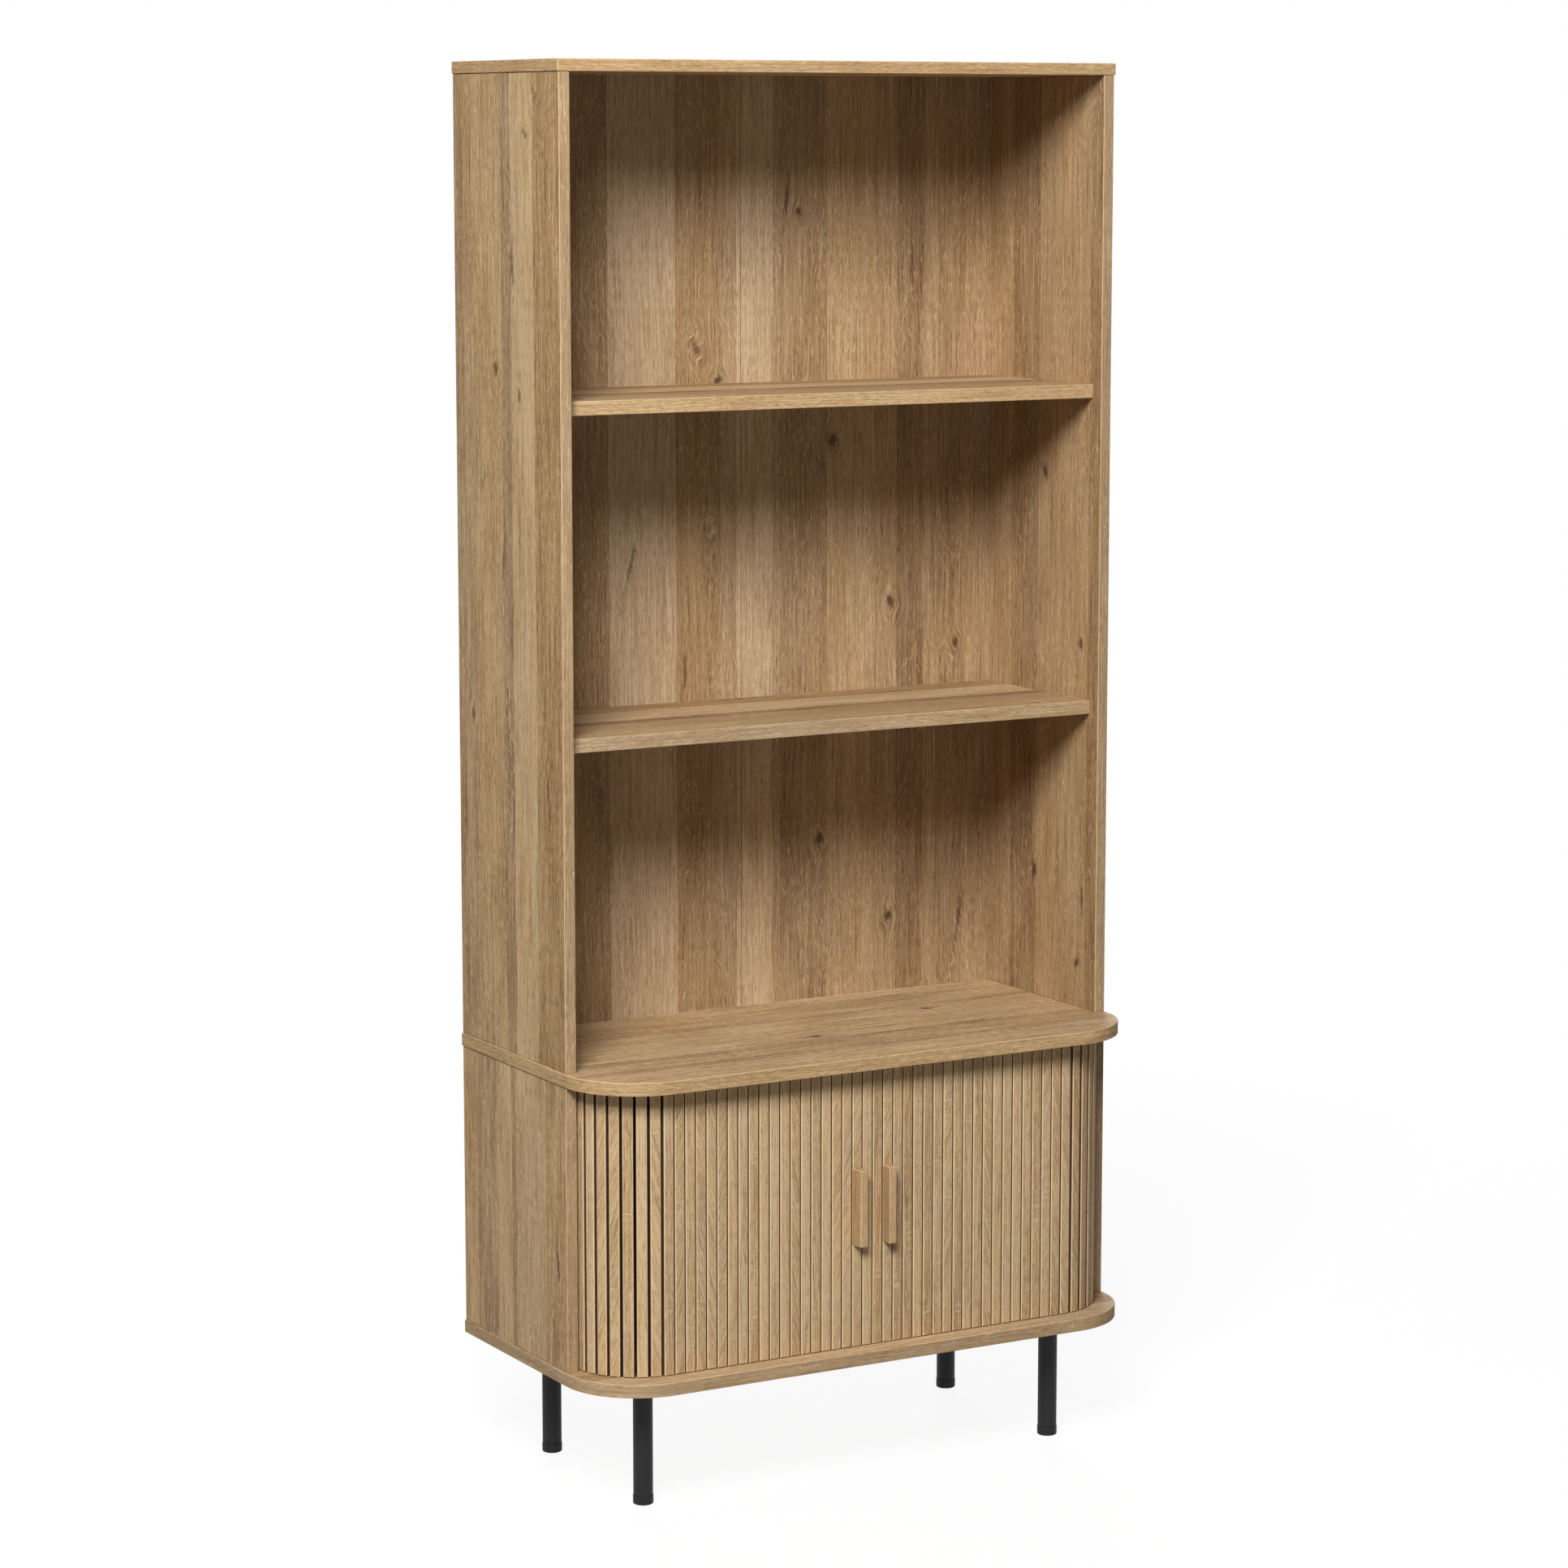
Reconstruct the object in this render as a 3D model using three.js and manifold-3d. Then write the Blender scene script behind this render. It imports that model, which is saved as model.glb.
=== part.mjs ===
// Bookcase with three open bays over a cabinet whose two slatted doors slide round its front corners.
// Lengths are millimetres. +Z is up, the front faces -Y, and the origin is on the floor, midway
// between the ends and midway between the front edge of the rounded boards and the back.
import * as THREE from 'three';
import { mergeVertices } from 'three/addons/utils/BufferGeometryUtils.js';
import Module from 'manifold-3d';

// Boards and panels
const BOARD_WIDTH = 800;
const SIDE_DEPTH = 294;
const FRONT_REACH = 100;
const FRONT_CORNER_RADIUS = 100;
const BOARD_THICKNESS = 17;
const TOP_THICKNESS = 15;
const SIDE_THICKNESS = 15;
const SHELF_THICKNESS = 18;
const SIDE_INSET = 1.5;
const TOP_FRONT_OVERHANG = 1.5;
const LOWER_BAY_HEIGHT = 364;
const UPPER_BAY_HEIGHT = 395.5;
const UPPER_BAYS = 3;
const SHELF_SETBACK = 19;

// Thin backs in their grooves
const BACK_THICKNESS = 3;
const BACK_INSET = 21;
const BACK_TONGUE = 6;
const BACK_PLAY = 0.2;
const BACK_SEAM_GAP = 0.4;
const STRIP_WIDTH = 30;
const STRIP_THICKNESS = 1.2;

// Legs and their glides
const LEG_HEIGHT = 160;
const LEG_DIAMETER = 25;
const LEG_WALL = 2;
const LEG_INSET_SIDE = 97.5;
const LEG_INSET_FRONT = 82.3;
const LEG_INSET_BACK = 56.1;
const LEG_PLATE_DIAMETER = 60;
const LEG_PLATE_THICKNESS = 3;
const GLIDE_DIAMETER = 26;
const GLIDE_HEIGHT = 12;
const GLIDE_EDGE_RADIUS = 2;
const GLIDE_STEM_LENGTH = 15;
const GLIDE_STEM_PLAY = 0.3;

// Slatted doors
const SLAT_PITCH = 15;
const SLAT_WIDTH = 14;
const SLAT_THICKNESS = 13;
const SLAT_EDGE_RADIUS = 1;
const SLAT_FACE_SETBACK = 28;
const SLAT_SIDE_GAP = 3.5;
const SLAT_END_GAP = 1;
const SLATS_PER_QUARTER = 8;
const TRAVEL_SLATS = 6;
const TAIL_SLATS = 2;
const CLOTH_THICKNESS = 0.6;

// Tongues at the slats' ends and the groove that guides them
const TONGUE_WIDTH = 3;
const TONGUE_THICKNESS = 3;
const TONGUE_OFFSET = 3;
const GROOVE_WIDTH = 8.2;
const GROOVE_DEPTH = 6.3;
const TONGUE_FLOOR_GAP = 0.3;
const TONGUE_CEILING_GAP = 1.3;
const GROOVE_BACK_MARGIN = 8;

// Handles
const HANDLE_LENGTH = 100;
const HANDLE_HEIGHT = 310;
const HANDLE_BASE_WIDTH = 13.5;
const HANDLE_FRONT_WIDTH = 10.4;
const HANDLE_REACH = 16;
const HANDLE_EDGE_RADIUS = 1.5;
const HANDLE_SLAT = 2;

// Guide panels between the doors' side runs and the cabinet's inside
const GUIDE_THICKNESS = 12;
const GUIDE_GAP = 8.4;
const GUIDE_SETBACK = 30;

// Cam fittings that hold the top board
const CAM_DIAMETER = 19;
const CAM_DEPTH = 11;
const CAM_PLAY = 0.15;
const CAM_DROP = 22.8;
const CAM_INSET_FRONT = 57.7;
const CAM_INSET_BACK = 36.2;
const CAM_SLOT_WIDTH = 2;
const CAM_SLOT_LENGTH = 12;
const CAM_SLOT_DEPTH = 2;

// One overrun for every cut
const CUT = 2;

// Counts of steps on round shapes
const CORNER_STEPS = 16;
const ROUND_STEPS = 24;
const EDGE_STEPS = 3;

// Places that follow from the sizes
const DEPTH = SIDE_DEPTH + FRONT_REACH;
const FRONT_Y = -DEPTH / 2;
const BACK_Y = DEPTH / 2;
const SIDE_FRONT_Y = FRONT_Y + FRONT_REACH;
const SIDE_OUTER_X = BOARD_WIDTH / 2 - SIDE_INSET;
const SIDE_INNER_X = SIDE_OUTER_X - SIDE_THICKNESS;
const BACK_REAR_Y = BACK_Y - BACK_INSET;
const BACK_FACE_Y = BACK_REAR_Y - BACK_THICKNESS;

const BOTTOM_BOARD_Z = LEG_HEIGHT;
const LOWER_FLOOR_Z = BOTTOM_BOARD_Z + BOARD_THICKNESS;
const MID_BOARD_Z = LOWER_FLOOR_Z + LOWER_BAY_HEIGHT;
const UPPER_FLOOR_Z = MID_BOARD_Z + BOARD_THICKNESS;
const SHELVES = UPPER_BAYS - 1;
const UPPER_HEIGHT = UPPER_BAYS * UPPER_BAY_HEIGHT + SHELVES * SHELF_THICKNESS;
const TOP_BOARD_Z = UPPER_FLOOR_Z + UPPER_HEIGHT;

// The doors' track is the line of their cloth: straight across the front, a quarter circle round
// the corner, then straight back beside the side panel.
const TRACK_RADIUS = SLATS_PER_QUARTER * SLAT_PITCH * 2 / Math.PI;
const QUARTER_LENGTH = SLATS_PER_QUARTER * SLAT_PITCH;
const FACE_RADIUS = TRACK_RADIUS + SLAT_THICKNESS;
const CORNER_X = SIDE_INNER_X - SLAT_SIDE_GAP - FACE_RADIUS;
const CORNER_Y = FRONT_Y + SLAT_FACE_SETBACK + FACE_RADIUS;
const TRAVEL = TRAVEL_SLATS * SLAT_PITCH;
const TONGUE_BOTTOM_Z = LOWER_FLOOR_Z - GROOVE_DEPTH + TONGUE_FLOOR_GAP;
const TONGUE_TOP_Z = MID_BOARD_Z + GROOVE_DEPTH - TONGUE_CEILING_GAP;
const SLAT_BOTTOM_Z = LOWER_FLOOR_Z + SLAT_END_GAP;
const SLAT_TOP_Z = MID_BOARD_Z - SLAT_END_GAP;
const GROOVE_END_Y = BACK_FACE_Y - GROOVE_BACK_MARGIN;

const GUIDE_OUTER_X = CORNER_X + TRACK_RADIUS - CLOTH_THICKNESS - GUIDE_GAP;

const wasm = await Module();
wasm.setup();

function finish(color, roughness, metalness = 0) {
  return new THREE.MeshStandardMaterial({ color, roughness, metalness });
}

const OAK = finish(0xc19a6b, 0.6);
const OAK_SLAT = finish(0xb78e5c, 0.6);
const HANDLE_LACQUER = finish(0xb98a54, 0.4);
const BACK_BOARD = finish(0xb4905f, 0.7);
const BLACK_METAL = finish(0x1b1b1c, 0.45, 0.4);
const BLACK_PLASTIC = finish(0x141414, 0.6);
const BROWN_PLASTIC = finish(0x6b4c32, 0.6);

// Solids and geometry

// Shared vertices only: positions and an index, with no normals to keep corners apart.
function welded(geometry) {
  const bare = geometry.clone();
  bare.deleteAttribute('normal');
  bare.deleteAttribute('uv');
  return mergeVertices(bare);
}

function toManifold(geometry) {
  const merged = welded(geometry);
  return new wasm.Manifold(new wasm.Mesh({
    numProp: 3,
    vertProperties: new Float32Array(merged.attributes.position.array),
    triVerts: new Uint32Array(merged.index.array),
  }));
}

function toGeometry(manifold) {
  const mesh = manifold.getMesh();
  const geometry = new THREE.BufferGeometry();
  geometry.setAttribute('position', new THREE.BufferAttribute(mesh.vertProperties, 3));
  geometry.setIndex(new THREE.BufferAttribute(mesh.triVerts, 1));
  geometry.computeVertexNormals();
  return geometry;
}

function joined(first, ...others) {
  let whole = toManifold(first);
  for (const other of others) whole = whole.add(toManifold(other));
  return toGeometry(whole);
}

function cut(body, ...tools) {
  let rest = toManifold(body);
  for (const tool of tools) rest = rest.subtract(toManifold(tool));
  return toGeometry(rest);
}

// The right-hand piece as it is, or its mirror image on the left with its faces still outward.
function mirrored(geometry, side) {
  const piece = welded(geometry);
  if (side < 0) {
    piece.scale(-1, 1, 1);
    const index = piece.index.array;
    for (let i = 0; i < index.length; i += 3) [index[i], index[i + 1]] = [index[i + 1], index[i]];
  }
  piece.computeVertexNormals();
  return piece;
}

function block(x0, x1, y0, y1, z0, z1) {
  const box = new THREE.BoxGeometry(x1 - x0, y1 - y0, z1 - z0);
  return box.translate((x0 + x1) / 2, (y0 + y1) / 2, (z0 + z1) / 2);
}

function upright(outline, z0, z1, curveSegments) {
  const depth = z1 - z0;
  const prism = new THREE.ExtrudeGeometry(outline, { depth, bevelEnabled: false, curveSegments });
  return prism.translate(0, 0, z0);
}

function turned(profile) {
  const points = profile.map(([radius, z]) => new THREE.Vector2(radius, z));
  return new THREE.LatheGeometry(points, ROUND_STEPS).rotateX(Math.PI / 2);
}

function named(name, geometry, material) {
  const mesh = new THREE.Mesh(geometry, material);
  mesh.name = name;
  return mesh;
}

// Outlines seen from above

function roundedBoardOutline() {
  const half = BOARD_WIDTH / 2;
  const radius = FRONT_CORNER_RADIUS;
  const outline = new THREE.Shape();
  outline.moveTo(half, BACK_Y);
  outline.lineTo(-half, BACK_Y);
  outline.lineTo(-half, FRONT_Y + radius);
  outline.absarc(-half + radius, FRONT_Y + radius, radius, Math.PI, Math.PI * 1.5, false);
  outline.lineTo(half - radius, FRONT_Y);
  outline.absarc(half - radius, FRONT_Y + radius, radius, Math.PI * 1.5, Math.PI * 2, false);
  outline.lineTo(half, BACK_Y);
  return outline;
}

function trackGrooveOutline() {
  const middle = TRACK_RADIUS + TONGUE_OFFSET;
  const outer = middle + GROOVE_WIDTH / 2;
  const inner = middle - GROOVE_WIDTH / 2;
  const outline = new THREE.Shape();
  outline.moveTo(-CORNER_X - outer, GROOVE_END_Y);
  outline.lineTo(-CORNER_X - outer, CORNER_Y);
  outline.absarc(-CORNER_X, CORNER_Y, outer, Math.PI, Math.PI * 1.5, false);
  outline.lineTo(CORNER_X, CORNER_Y - outer);
  outline.absarc(CORNER_X, CORNER_Y, outer, Math.PI * 1.5, Math.PI * 2, false);
  outline.lineTo(CORNER_X + outer, GROOVE_END_Y);
  outline.lineTo(CORNER_X + inner, GROOVE_END_Y);
  outline.lineTo(CORNER_X + inner, CORNER_Y);
  outline.absarc(CORNER_X, CORNER_Y, inner, 0, -Math.PI / 2, true);
  outline.lineTo(-CORNER_X, CORNER_Y - inner);
  outline.absarc(-CORNER_X, CORNER_Y, inner, -Math.PI / 2, -Math.PI, true);
  outline.lineTo(-CORNER_X - inner, GROOVE_END_Y);
  return outline;
}

function backGroove(z0, z1) {
  const reach = SIDE_INNER_X + BACK_TONGUE;
  return block(-reach, reach, BACK_FACE_Y - BACK_PLAY, BACK_REAR_Y + BACK_PLAY, z0, z1);
}

// Carcass

function topBoard() {
  const half = BOARD_WIDTH / 2;
  const front = SIDE_FRONT_Y - TOP_FRONT_OVERHANG;
  const board = block(-half, half, front, BACK_Y, TOP_BOARD_Z, TOP_BOARD_Z + TOP_THICKNESS);
  const groove = backGroove(TOP_BOARD_Z - CUT, TOP_BOARD_Z + BACK_TONGUE);
  return named('top_board', cut(board, groove), OAK);
}

function midBoard() {
  const board = upright(roundedBoardOutline(), MID_BOARD_Z, UPPER_FLOOR_Z, CORNER_STEPS);
  const track = upright(trackGrooveOutline(), MID_BOARD_Z - CUT, MID_BOARD_Z + GROOVE_DEPTH, CORNER_STEPS);
  const under = backGroove(MID_BOARD_Z - CUT, MID_BOARD_Z + BACK_TONGUE);
  const over = backGroove(UPPER_FLOOR_Z - BACK_TONGUE, UPPER_FLOOR_Z + CUT);
  return named('mid_board', cut(board, track, under, over), OAK);
}

function bottomBoard() {
  const board = upright(roundedBoardOutline(), BOTTOM_BOARD_Z, LOWER_FLOOR_Z, CORNER_STEPS);
  const floor = LOWER_FLOOR_Z - GROOVE_DEPTH;
  const track = upright(trackGrooveOutline(), floor, LOWER_FLOOR_Z + CUT, CORNER_STEPS);
  const over = backGroove(LOWER_FLOOR_Z - BACK_TONGUE, LOWER_FLOOR_Z + CUT);
  return named('bottom_board', cut(board, track, over), OAK);
}

// A disc lying in the inner face of a side panel, on the right; its slot is cut across it.
function camSolid(radius, y, depth) {
  const disc = new THREE.CylinderGeometry(radius, radius, depth, ROUND_STEPS);
  disc.rotateZ(Math.PI / 2);
  return disc.translate(SIDE_INNER_X + depth / 2, y, TOP_BOARD_Z - CAM_DROP);
}

const CAM_YS = [SIDE_FRONT_Y + CAM_INSET_FRONT, BACK_Y - CAM_INSET_BACK];

function camFitting(name, side, y) {
  const z = TOP_BOARD_Z - CAM_DROP;
  const halfLength = CAM_SLOT_LENGTH / 2;
  const halfWidth = CAM_SLOT_WIDTH / 2;
  const x0 = SIDE_INNER_X - CUT;
  const x1 = SIDE_INNER_X + CAM_SLOT_DEPTH;
  const slot = block(x0, x1, y - halfLength, y + halfLength, z - halfWidth, z + halfWidth);
  const disc = cut(camSolid(CAM_DIAMETER / 2, y, CAM_DEPTH), slot);
  return named(name, mirrored(disc, side), BROWN_PLASTIC);
}

function sidePanel(name, side, z0, z1, withCams) {
  const panel = block(SIDE_INNER_X, SIDE_OUTER_X, SIDE_FRONT_Y, BACK_Y, z0, z1);
  const tools = [backGroove(z0 - CUT, z1 + CUT)];
  if (withCams) {
    for (const y of CAM_YS) tools.push(camSolid(CAM_DIAMETER / 2 + CAM_PLAY, y, CAM_DEPTH));
  }
  return named(name, mirrored(cut(panel, ...tools), side), OAK);
}

function backPanel(name, x0, x1, z0, z1) {
  return named(name, block(x0, x1, BACK_FACE_Y, BACK_REAR_Y, z0, z1), BACK_BOARD);
}

function backs() {
  const edge = SIDE_INNER_X + BACK_TONGUE - BACK_PLAY;
  const seam = BACK_SEAM_GAP / 2;
  const reach = BACK_TONGUE - BACK_PLAY;
  const upper0 = UPPER_FLOOR_Z - reach;
  const upper1 = TOP_BOARD_Z + reach;
  const stripY = BACK_REAR_Y + STRIP_THICKNESS;
  const halfStrip = STRIP_WIDTH / 2;
  const strip = block(-halfStrip, halfStrip, BACK_REAR_Y, stripY, UPPER_FLOOR_Z, TOP_BOARD_Z);
  return [
    backPanel('upper_back_left', -edge, -seam, upper0, upper1),
    backPanel('upper_back_right', seam, edge, upper0, upper1),
    named('upper_back_joining_strip', strip, BACK_BOARD),
    backPanel('lower_back', -edge, edge, LOWER_FLOOR_Z - reach, MID_BOARD_Z + reach),
  ];
}

function shelves() {
  const front = SIDE_FRONT_Y + SHELF_SETBACK;
  const names = ['shelf_lower', 'shelf_upper'];
  const boards = [];
  for (let level = 1; level <= SHELVES; level += 1) {
    const z0 = UPPER_FLOOR_Z + level * UPPER_BAY_HEIGHT + (level - 1) * SHELF_THICKNESS;
    const board = block(-SIDE_INNER_X, SIDE_INNER_X, front, BACK_FACE_Y, z0, z0 + SHELF_THICKNESS);
    boards.push(named(names[level - 1] ?? `shelf_${level}`, board, OAK));
  }
  return boards;
}

function guidePanel(name, side) {
  const inner = GUIDE_OUTER_X - GUIDE_THICKNESS;
  const front = SIDE_FRONT_Y + GUIDE_SETBACK;
  const panel = block(inner, GUIDE_OUTER_X, front, BACK_FACE_Y, LOWER_FLOOR_Z, MID_BOARD_Z);
  return named(name, mirrored(panel, side), BACK_BOARD);
}

// Legs: a tube with its mounting plate, and a plastic glide pushed into the tube's open end.

function legSolid() {
  const outer = LEG_DIAMETER / 2;
  const bore = outer - LEG_WALL;
  const plate = LEG_PLATE_DIAMETER / 2;
  const under = BOTTOM_BOARD_Z - LEG_PLATE_THICKNESS;
  return turned([
    [0, under], [bore, under], [bore, GLIDE_HEIGHT], [outer, GLIDE_HEIGHT], [outer, under],
    [plate, under], [plate, BOTTOM_BOARD_Z], [0, BOTTOM_BOARD_Z],
  ]);
}

function glideSolid() {
  const outer = GLIDE_DIAMETER / 2;
  const stem = LEG_DIAMETER / 2 - LEG_WALL - GLIDE_STEM_PLAY;
  const top = GLIDE_HEIGHT + GLIDE_STEM_LENGTH;
  const profile = [[0, 0]];
  for (let step = 0; step <= EDGE_STEPS; step += 1) {
    const angle = (step / EDGE_STEPS) * Math.PI / 2;
    const radius = outer - GLIDE_EDGE_RADIUS + GLIDE_EDGE_RADIUS * Math.sin(angle);
    profile.push([radius, GLIDE_EDGE_RADIUS - GLIDE_EDGE_RADIUS * Math.cos(angle)]);
  }
  profile.push([outer, GLIDE_HEIGHT], [stem, GLIDE_HEIGHT], [stem, top], [0, top]);
  return turned(profile);
}

function legs() {
  const x = BOARD_WIDTH / 2 - LEG_INSET_SIDE;
  const corners = [
    ['front_left', -x, FRONT_Y + LEG_INSET_FRONT], ['front_right', x, FRONT_Y + LEG_INSET_FRONT],
    ['back_left', -x, BACK_Y - LEG_INSET_BACK], ['back_right', x, BACK_Y - LEG_INSET_BACK],
  ];
  const meshes = [];
  for (const [corner, legX, legY] of corners) {
    const leg = named(`leg_${corner}`, legSolid(), BLACK_METAL);
    const glide = named(`foot_glide_${corner}`, glideSolid(), BLACK_PLASTIC);
    leg.position.set(legX, legY, 0);
    glide.position.set(legX, legY, 0);
    meshes.push(leg, glide);
  }
  return meshes;
}

// Doors. A slat's own frame has its origin on the cloth line, with its face towards -Y.

function slatOutline() {
  const half = SLAT_WIDTH / 2;
  const radius = SLAT_EDGE_RADIUS;
  const outline = new THREE.Shape();
  outline.moveTo(half, CLOTH_THICKNESS);
  outline.lineTo(-half, CLOTH_THICKNESS);
  outline.lineTo(-half, radius - SLAT_THICKNESS);
  outline.absarc(radius - half, radius - SLAT_THICKNESS, radius, Math.PI, Math.PI * 1.5, false);
  outline.lineTo(half - radius, -SLAT_THICKNESS);
  outline.absarc(half - radius, radius - SLAT_THICKNESS, radius, Math.PI * 1.5, Math.PI * 2, false);
  outline.lineTo(half, CLOTH_THICKNESS);
  return outline;
}

function slatSolid() {
  const half = TONGUE_WIDTH / 2;
  const near = -TONGUE_OFFSET - TONGUE_THICKNESS / 2;
  const far = near + TONGUE_THICKNESS;
  const body = upright(slatOutline(), SLAT_BOTTOM_Z, SLAT_TOP_Z, EDGE_STEPS);
  return joined(body, block(-half, half, near, far, TONGUE_BOTTOM_Z, TONGUE_TOP_Z));
}

// The place and turn, on the right-hand door, at a distance along the track from where the corner
// starts; the front run is negative.
function trackPlace(distance) {
  if (distance <= 0) return { x: CORNER_X + distance, y: CORNER_Y - TRACK_RADIUS, turn: 0 };
  if (distance >= QUARTER_LENGTH) {
    return { x: CORNER_X + TRACK_RADIUS, y: CORNER_Y + distance - QUARTER_LENGTH, turn: Math.PI / 2 };
  }
  const turn = distance / TRACK_RADIUS;
  const x = CORNER_X + TRACK_RADIUS * Math.sin(turn);
  return { x, y: CORNER_Y - TRACK_RADIUS * Math.cos(turn), turn };
}

function placedSlat(distance, side) {
  const { x, y, turn } = trackPlace(distance);
  return slatSolid().rotateZ(side * turn).translate(side * x, y, 0);
}

// The cloth behind slats that move as one, from the first slat's outer edge to the last one's.
function clothBehind(distances, side) {
  const clothBottom = SLAT_BOTTOM_Z;
  const clothTop = SLAT_TOP_Z;
  const first = trackPlace(distances[0]);
  const last = trackPlace(distances[distances.length - 1]);
  const half = SLAT_WIDTH / 2;
  if (first.turn === 0) {
    const y0 = CORNER_Y - TRACK_RADIUS;
    const sheet = block(first.x - half, last.x + half, y0, y0 + CLOTH_THICKNESS, clothBottom, clothTop);
    return mirrored(sheet, side);
  }
  if (last.turn === Math.PI / 2 && first.turn === last.turn) {
    const x0 = CORNER_X + TRACK_RADIUS - CLOTH_THICKNESS;
    const sheet = block(x0, x0 + CLOTH_THICKNESS, first.y - half, last.y + half, clothBottom, clothTop);
    return mirrored(sheet, side);
  }
  return mirrored(upright(clothArcOutline(first.turn, last.turn), clothBottom, clothTop, EDGE_STEPS), side);
}

// Cloth bent round part of the corner; it reaches a little past the line into the slats' backs.
function clothArcOutline(startTurn, endTurn) {
  const inner = TRACK_RADIUS - CLOTH_THICKNESS;
  const outer = TRACK_RADIUS + CLOTH_THICKNESS;
  const start = startTurn - Math.PI / 2;
  const end = endTurn - Math.PI / 2;
  const outline = new THREE.Shape();
  outline.absarc(CORNER_X, CORNER_Y, outer, start, end, false);
  outline.absarc(CORNER_X, CORNER_Y, inner, end, start, true);
  return outline;
}

function slatGroup(name, distances, side) {
  const slats = distances.map((distance) => placedSlat(distance, side));
  return named(name, joined(clothBehind(distances, side), ...slats), OAK_SLAT);
}

// A handle of the right-hand door: straight towards the other door, sloping on its far side.
function handleOutline() {
  const near = -HANDLE_BASE_WIDTH / 2;
  const far = HANDLE_BASE_WIDTH / 2;
  const slope = HANDLE_BASE_WIDTH - HANDLE_FRONT_WIDTH;
  const radius = HANDLE_EDGE_RADIUS;
  const outline = new THREE.Shape();
  outline.moveTo(far, 0);
  outline.lineTo(near, 0);
  outline.lineTo(near, radius - HANDLE_REACH);
  outline.absarc(near + radius, radius - HANDLE_REACH, radius, Math.PI, Math.PI * 1.5, false);
  outline.lineTo(far - slope - radius, -HANDLE_REACH);
  outline.quadraticCurveTo(far - slope, -HANDLE_REACH, far - slope, radius - HANDLE_REACH);
  outline.lineTo(far, 0);
  return outline;
}

function handle(name, side) {
  const x = (HANDLE_SLAT - 1 / 2) * SLAT_PITCH;
  const y = FRONT_Y + SLAT_FACE_SETBACK;
  const grip = upright(handleOutline(), HANDLE_HEIGHT, HANDLE_HEIGHT + HANDLE_LENGTH, EDGE_STEPS);
  return named(name, mirrored(grip.translate(x, y, 0), side), HANDLE_LACQUER);
}

// Distances of every slat of one door, from the middle of the front to the tail at the side.
function slatDistances() {
  const lead = SLAT_PITCH / 2 - CORNER_X;
  const distances = [];
  let distance = lead;
  while (distance < QUARTER_LENGTH + TAIL_SLATS * SLAT_PITCH) {
    distances.push(distance);
    distance += SLAT_PITCH;
  }
  return distances;
}

// Slats that stay on the front run, or on the corner, or on the side run through the whole travel
// move as one; each slat that passes from one stretch to the next is a piece by itself.
function door(word, side) {
  const distances = slatDistances();
  const front = distances.filter((d) => d <= -TRAVEL);
  const corner = distances.filter((d) => d >= 0 && d <= QUARTER_LENGTH - TRAVEL);
  const tail = distances.filter((d) => d >= QUARTER_LENGTH);
  const group = new THREE.Group();
  group.add(slatGroup(`door_${word}_front_slats`, front, side));
  group.add(handle(`door_${word}_handle`, side));
  group.add(slatGroup(`door_${word}_corner_slats`, corner, side));
  group.add(slatGroup(`door_${word}_tail_slats`, tail, side));
  distances.forEach((distance, index) => {
    if ([front, corner, tail].some((set) => set.includes(distance))) return;
    const number = String(index + 1).padStart(2, '0');
    group.add(named(`door_${word}_slat_${number}`, placedSlat(distance, side), OAK_SLAT));
  });
  return group;
}

const bookcase = new THREE.Group();
bookcase.add(topBoard(), midBoard(), bottomBoard(), ...backs(), ...shelves(), ...legs());
for (const [word, side] of [['left', -1], ['right', 1]]) {
  bookcase.add(sidePanel(`upper_side_${word}`, side, UPPER_FLOOR_Z, TOP_BOARD_Z, true));
  bookcase.add(sidePanel(`lower_side_${word}`, side, LOWER_FLOOR_Z, MID_BOARD_Z, false));
  bookcase.add(guidePanel(`guide_panel_${word}`, side));
  bookcase.add(camFitting(`cam_fitting_front_${word}`, side, CAM_YS[0]));
  bookcase.add(camFitting(`cam_fitting_back_${word}`, side, CAM_YS[1]));
  bookcase.add(door(word, side));
}

export default bookcase;
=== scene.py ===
"""Bookcase with three open bays over a cabinet with two slatted doors that slide round its corners."""

import logging
import math
import random
from collections.abc import Callable, Iterable, Sequence
from dataclasses import dataclass, field
from enum import Enum

import bmesh
import bpy
from mathutils import Matrix, Vector


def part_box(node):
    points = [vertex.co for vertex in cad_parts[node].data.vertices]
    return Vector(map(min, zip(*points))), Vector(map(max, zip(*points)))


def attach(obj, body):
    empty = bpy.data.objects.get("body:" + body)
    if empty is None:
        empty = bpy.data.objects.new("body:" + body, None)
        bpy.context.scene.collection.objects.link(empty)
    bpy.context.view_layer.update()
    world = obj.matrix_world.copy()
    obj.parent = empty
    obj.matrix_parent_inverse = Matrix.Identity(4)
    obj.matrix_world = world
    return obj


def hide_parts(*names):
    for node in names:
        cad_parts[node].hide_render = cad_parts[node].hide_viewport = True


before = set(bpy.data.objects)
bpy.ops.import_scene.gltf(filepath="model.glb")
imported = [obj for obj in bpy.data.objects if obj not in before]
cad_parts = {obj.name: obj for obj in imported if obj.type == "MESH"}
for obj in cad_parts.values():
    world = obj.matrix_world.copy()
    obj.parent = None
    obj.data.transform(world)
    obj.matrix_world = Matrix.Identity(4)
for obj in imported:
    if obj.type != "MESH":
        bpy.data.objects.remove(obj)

LOG = logging.getLogger("bookcase")
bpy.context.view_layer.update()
MM = 0.001
# Below this a length counts as none.
NOTHING = 1e-6
# A normal with a larger share along an axis counts as looking along it.
STRAIGHT = 0.97
# Faces that meet at a smaller angle are shaded as one surface.
SHARPEST_SMOOTH = math.radians(50)
# What a height of 1 stands for in the oak and the cloth, in metres.
FINE_HEIGHT = 0.0002

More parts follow.
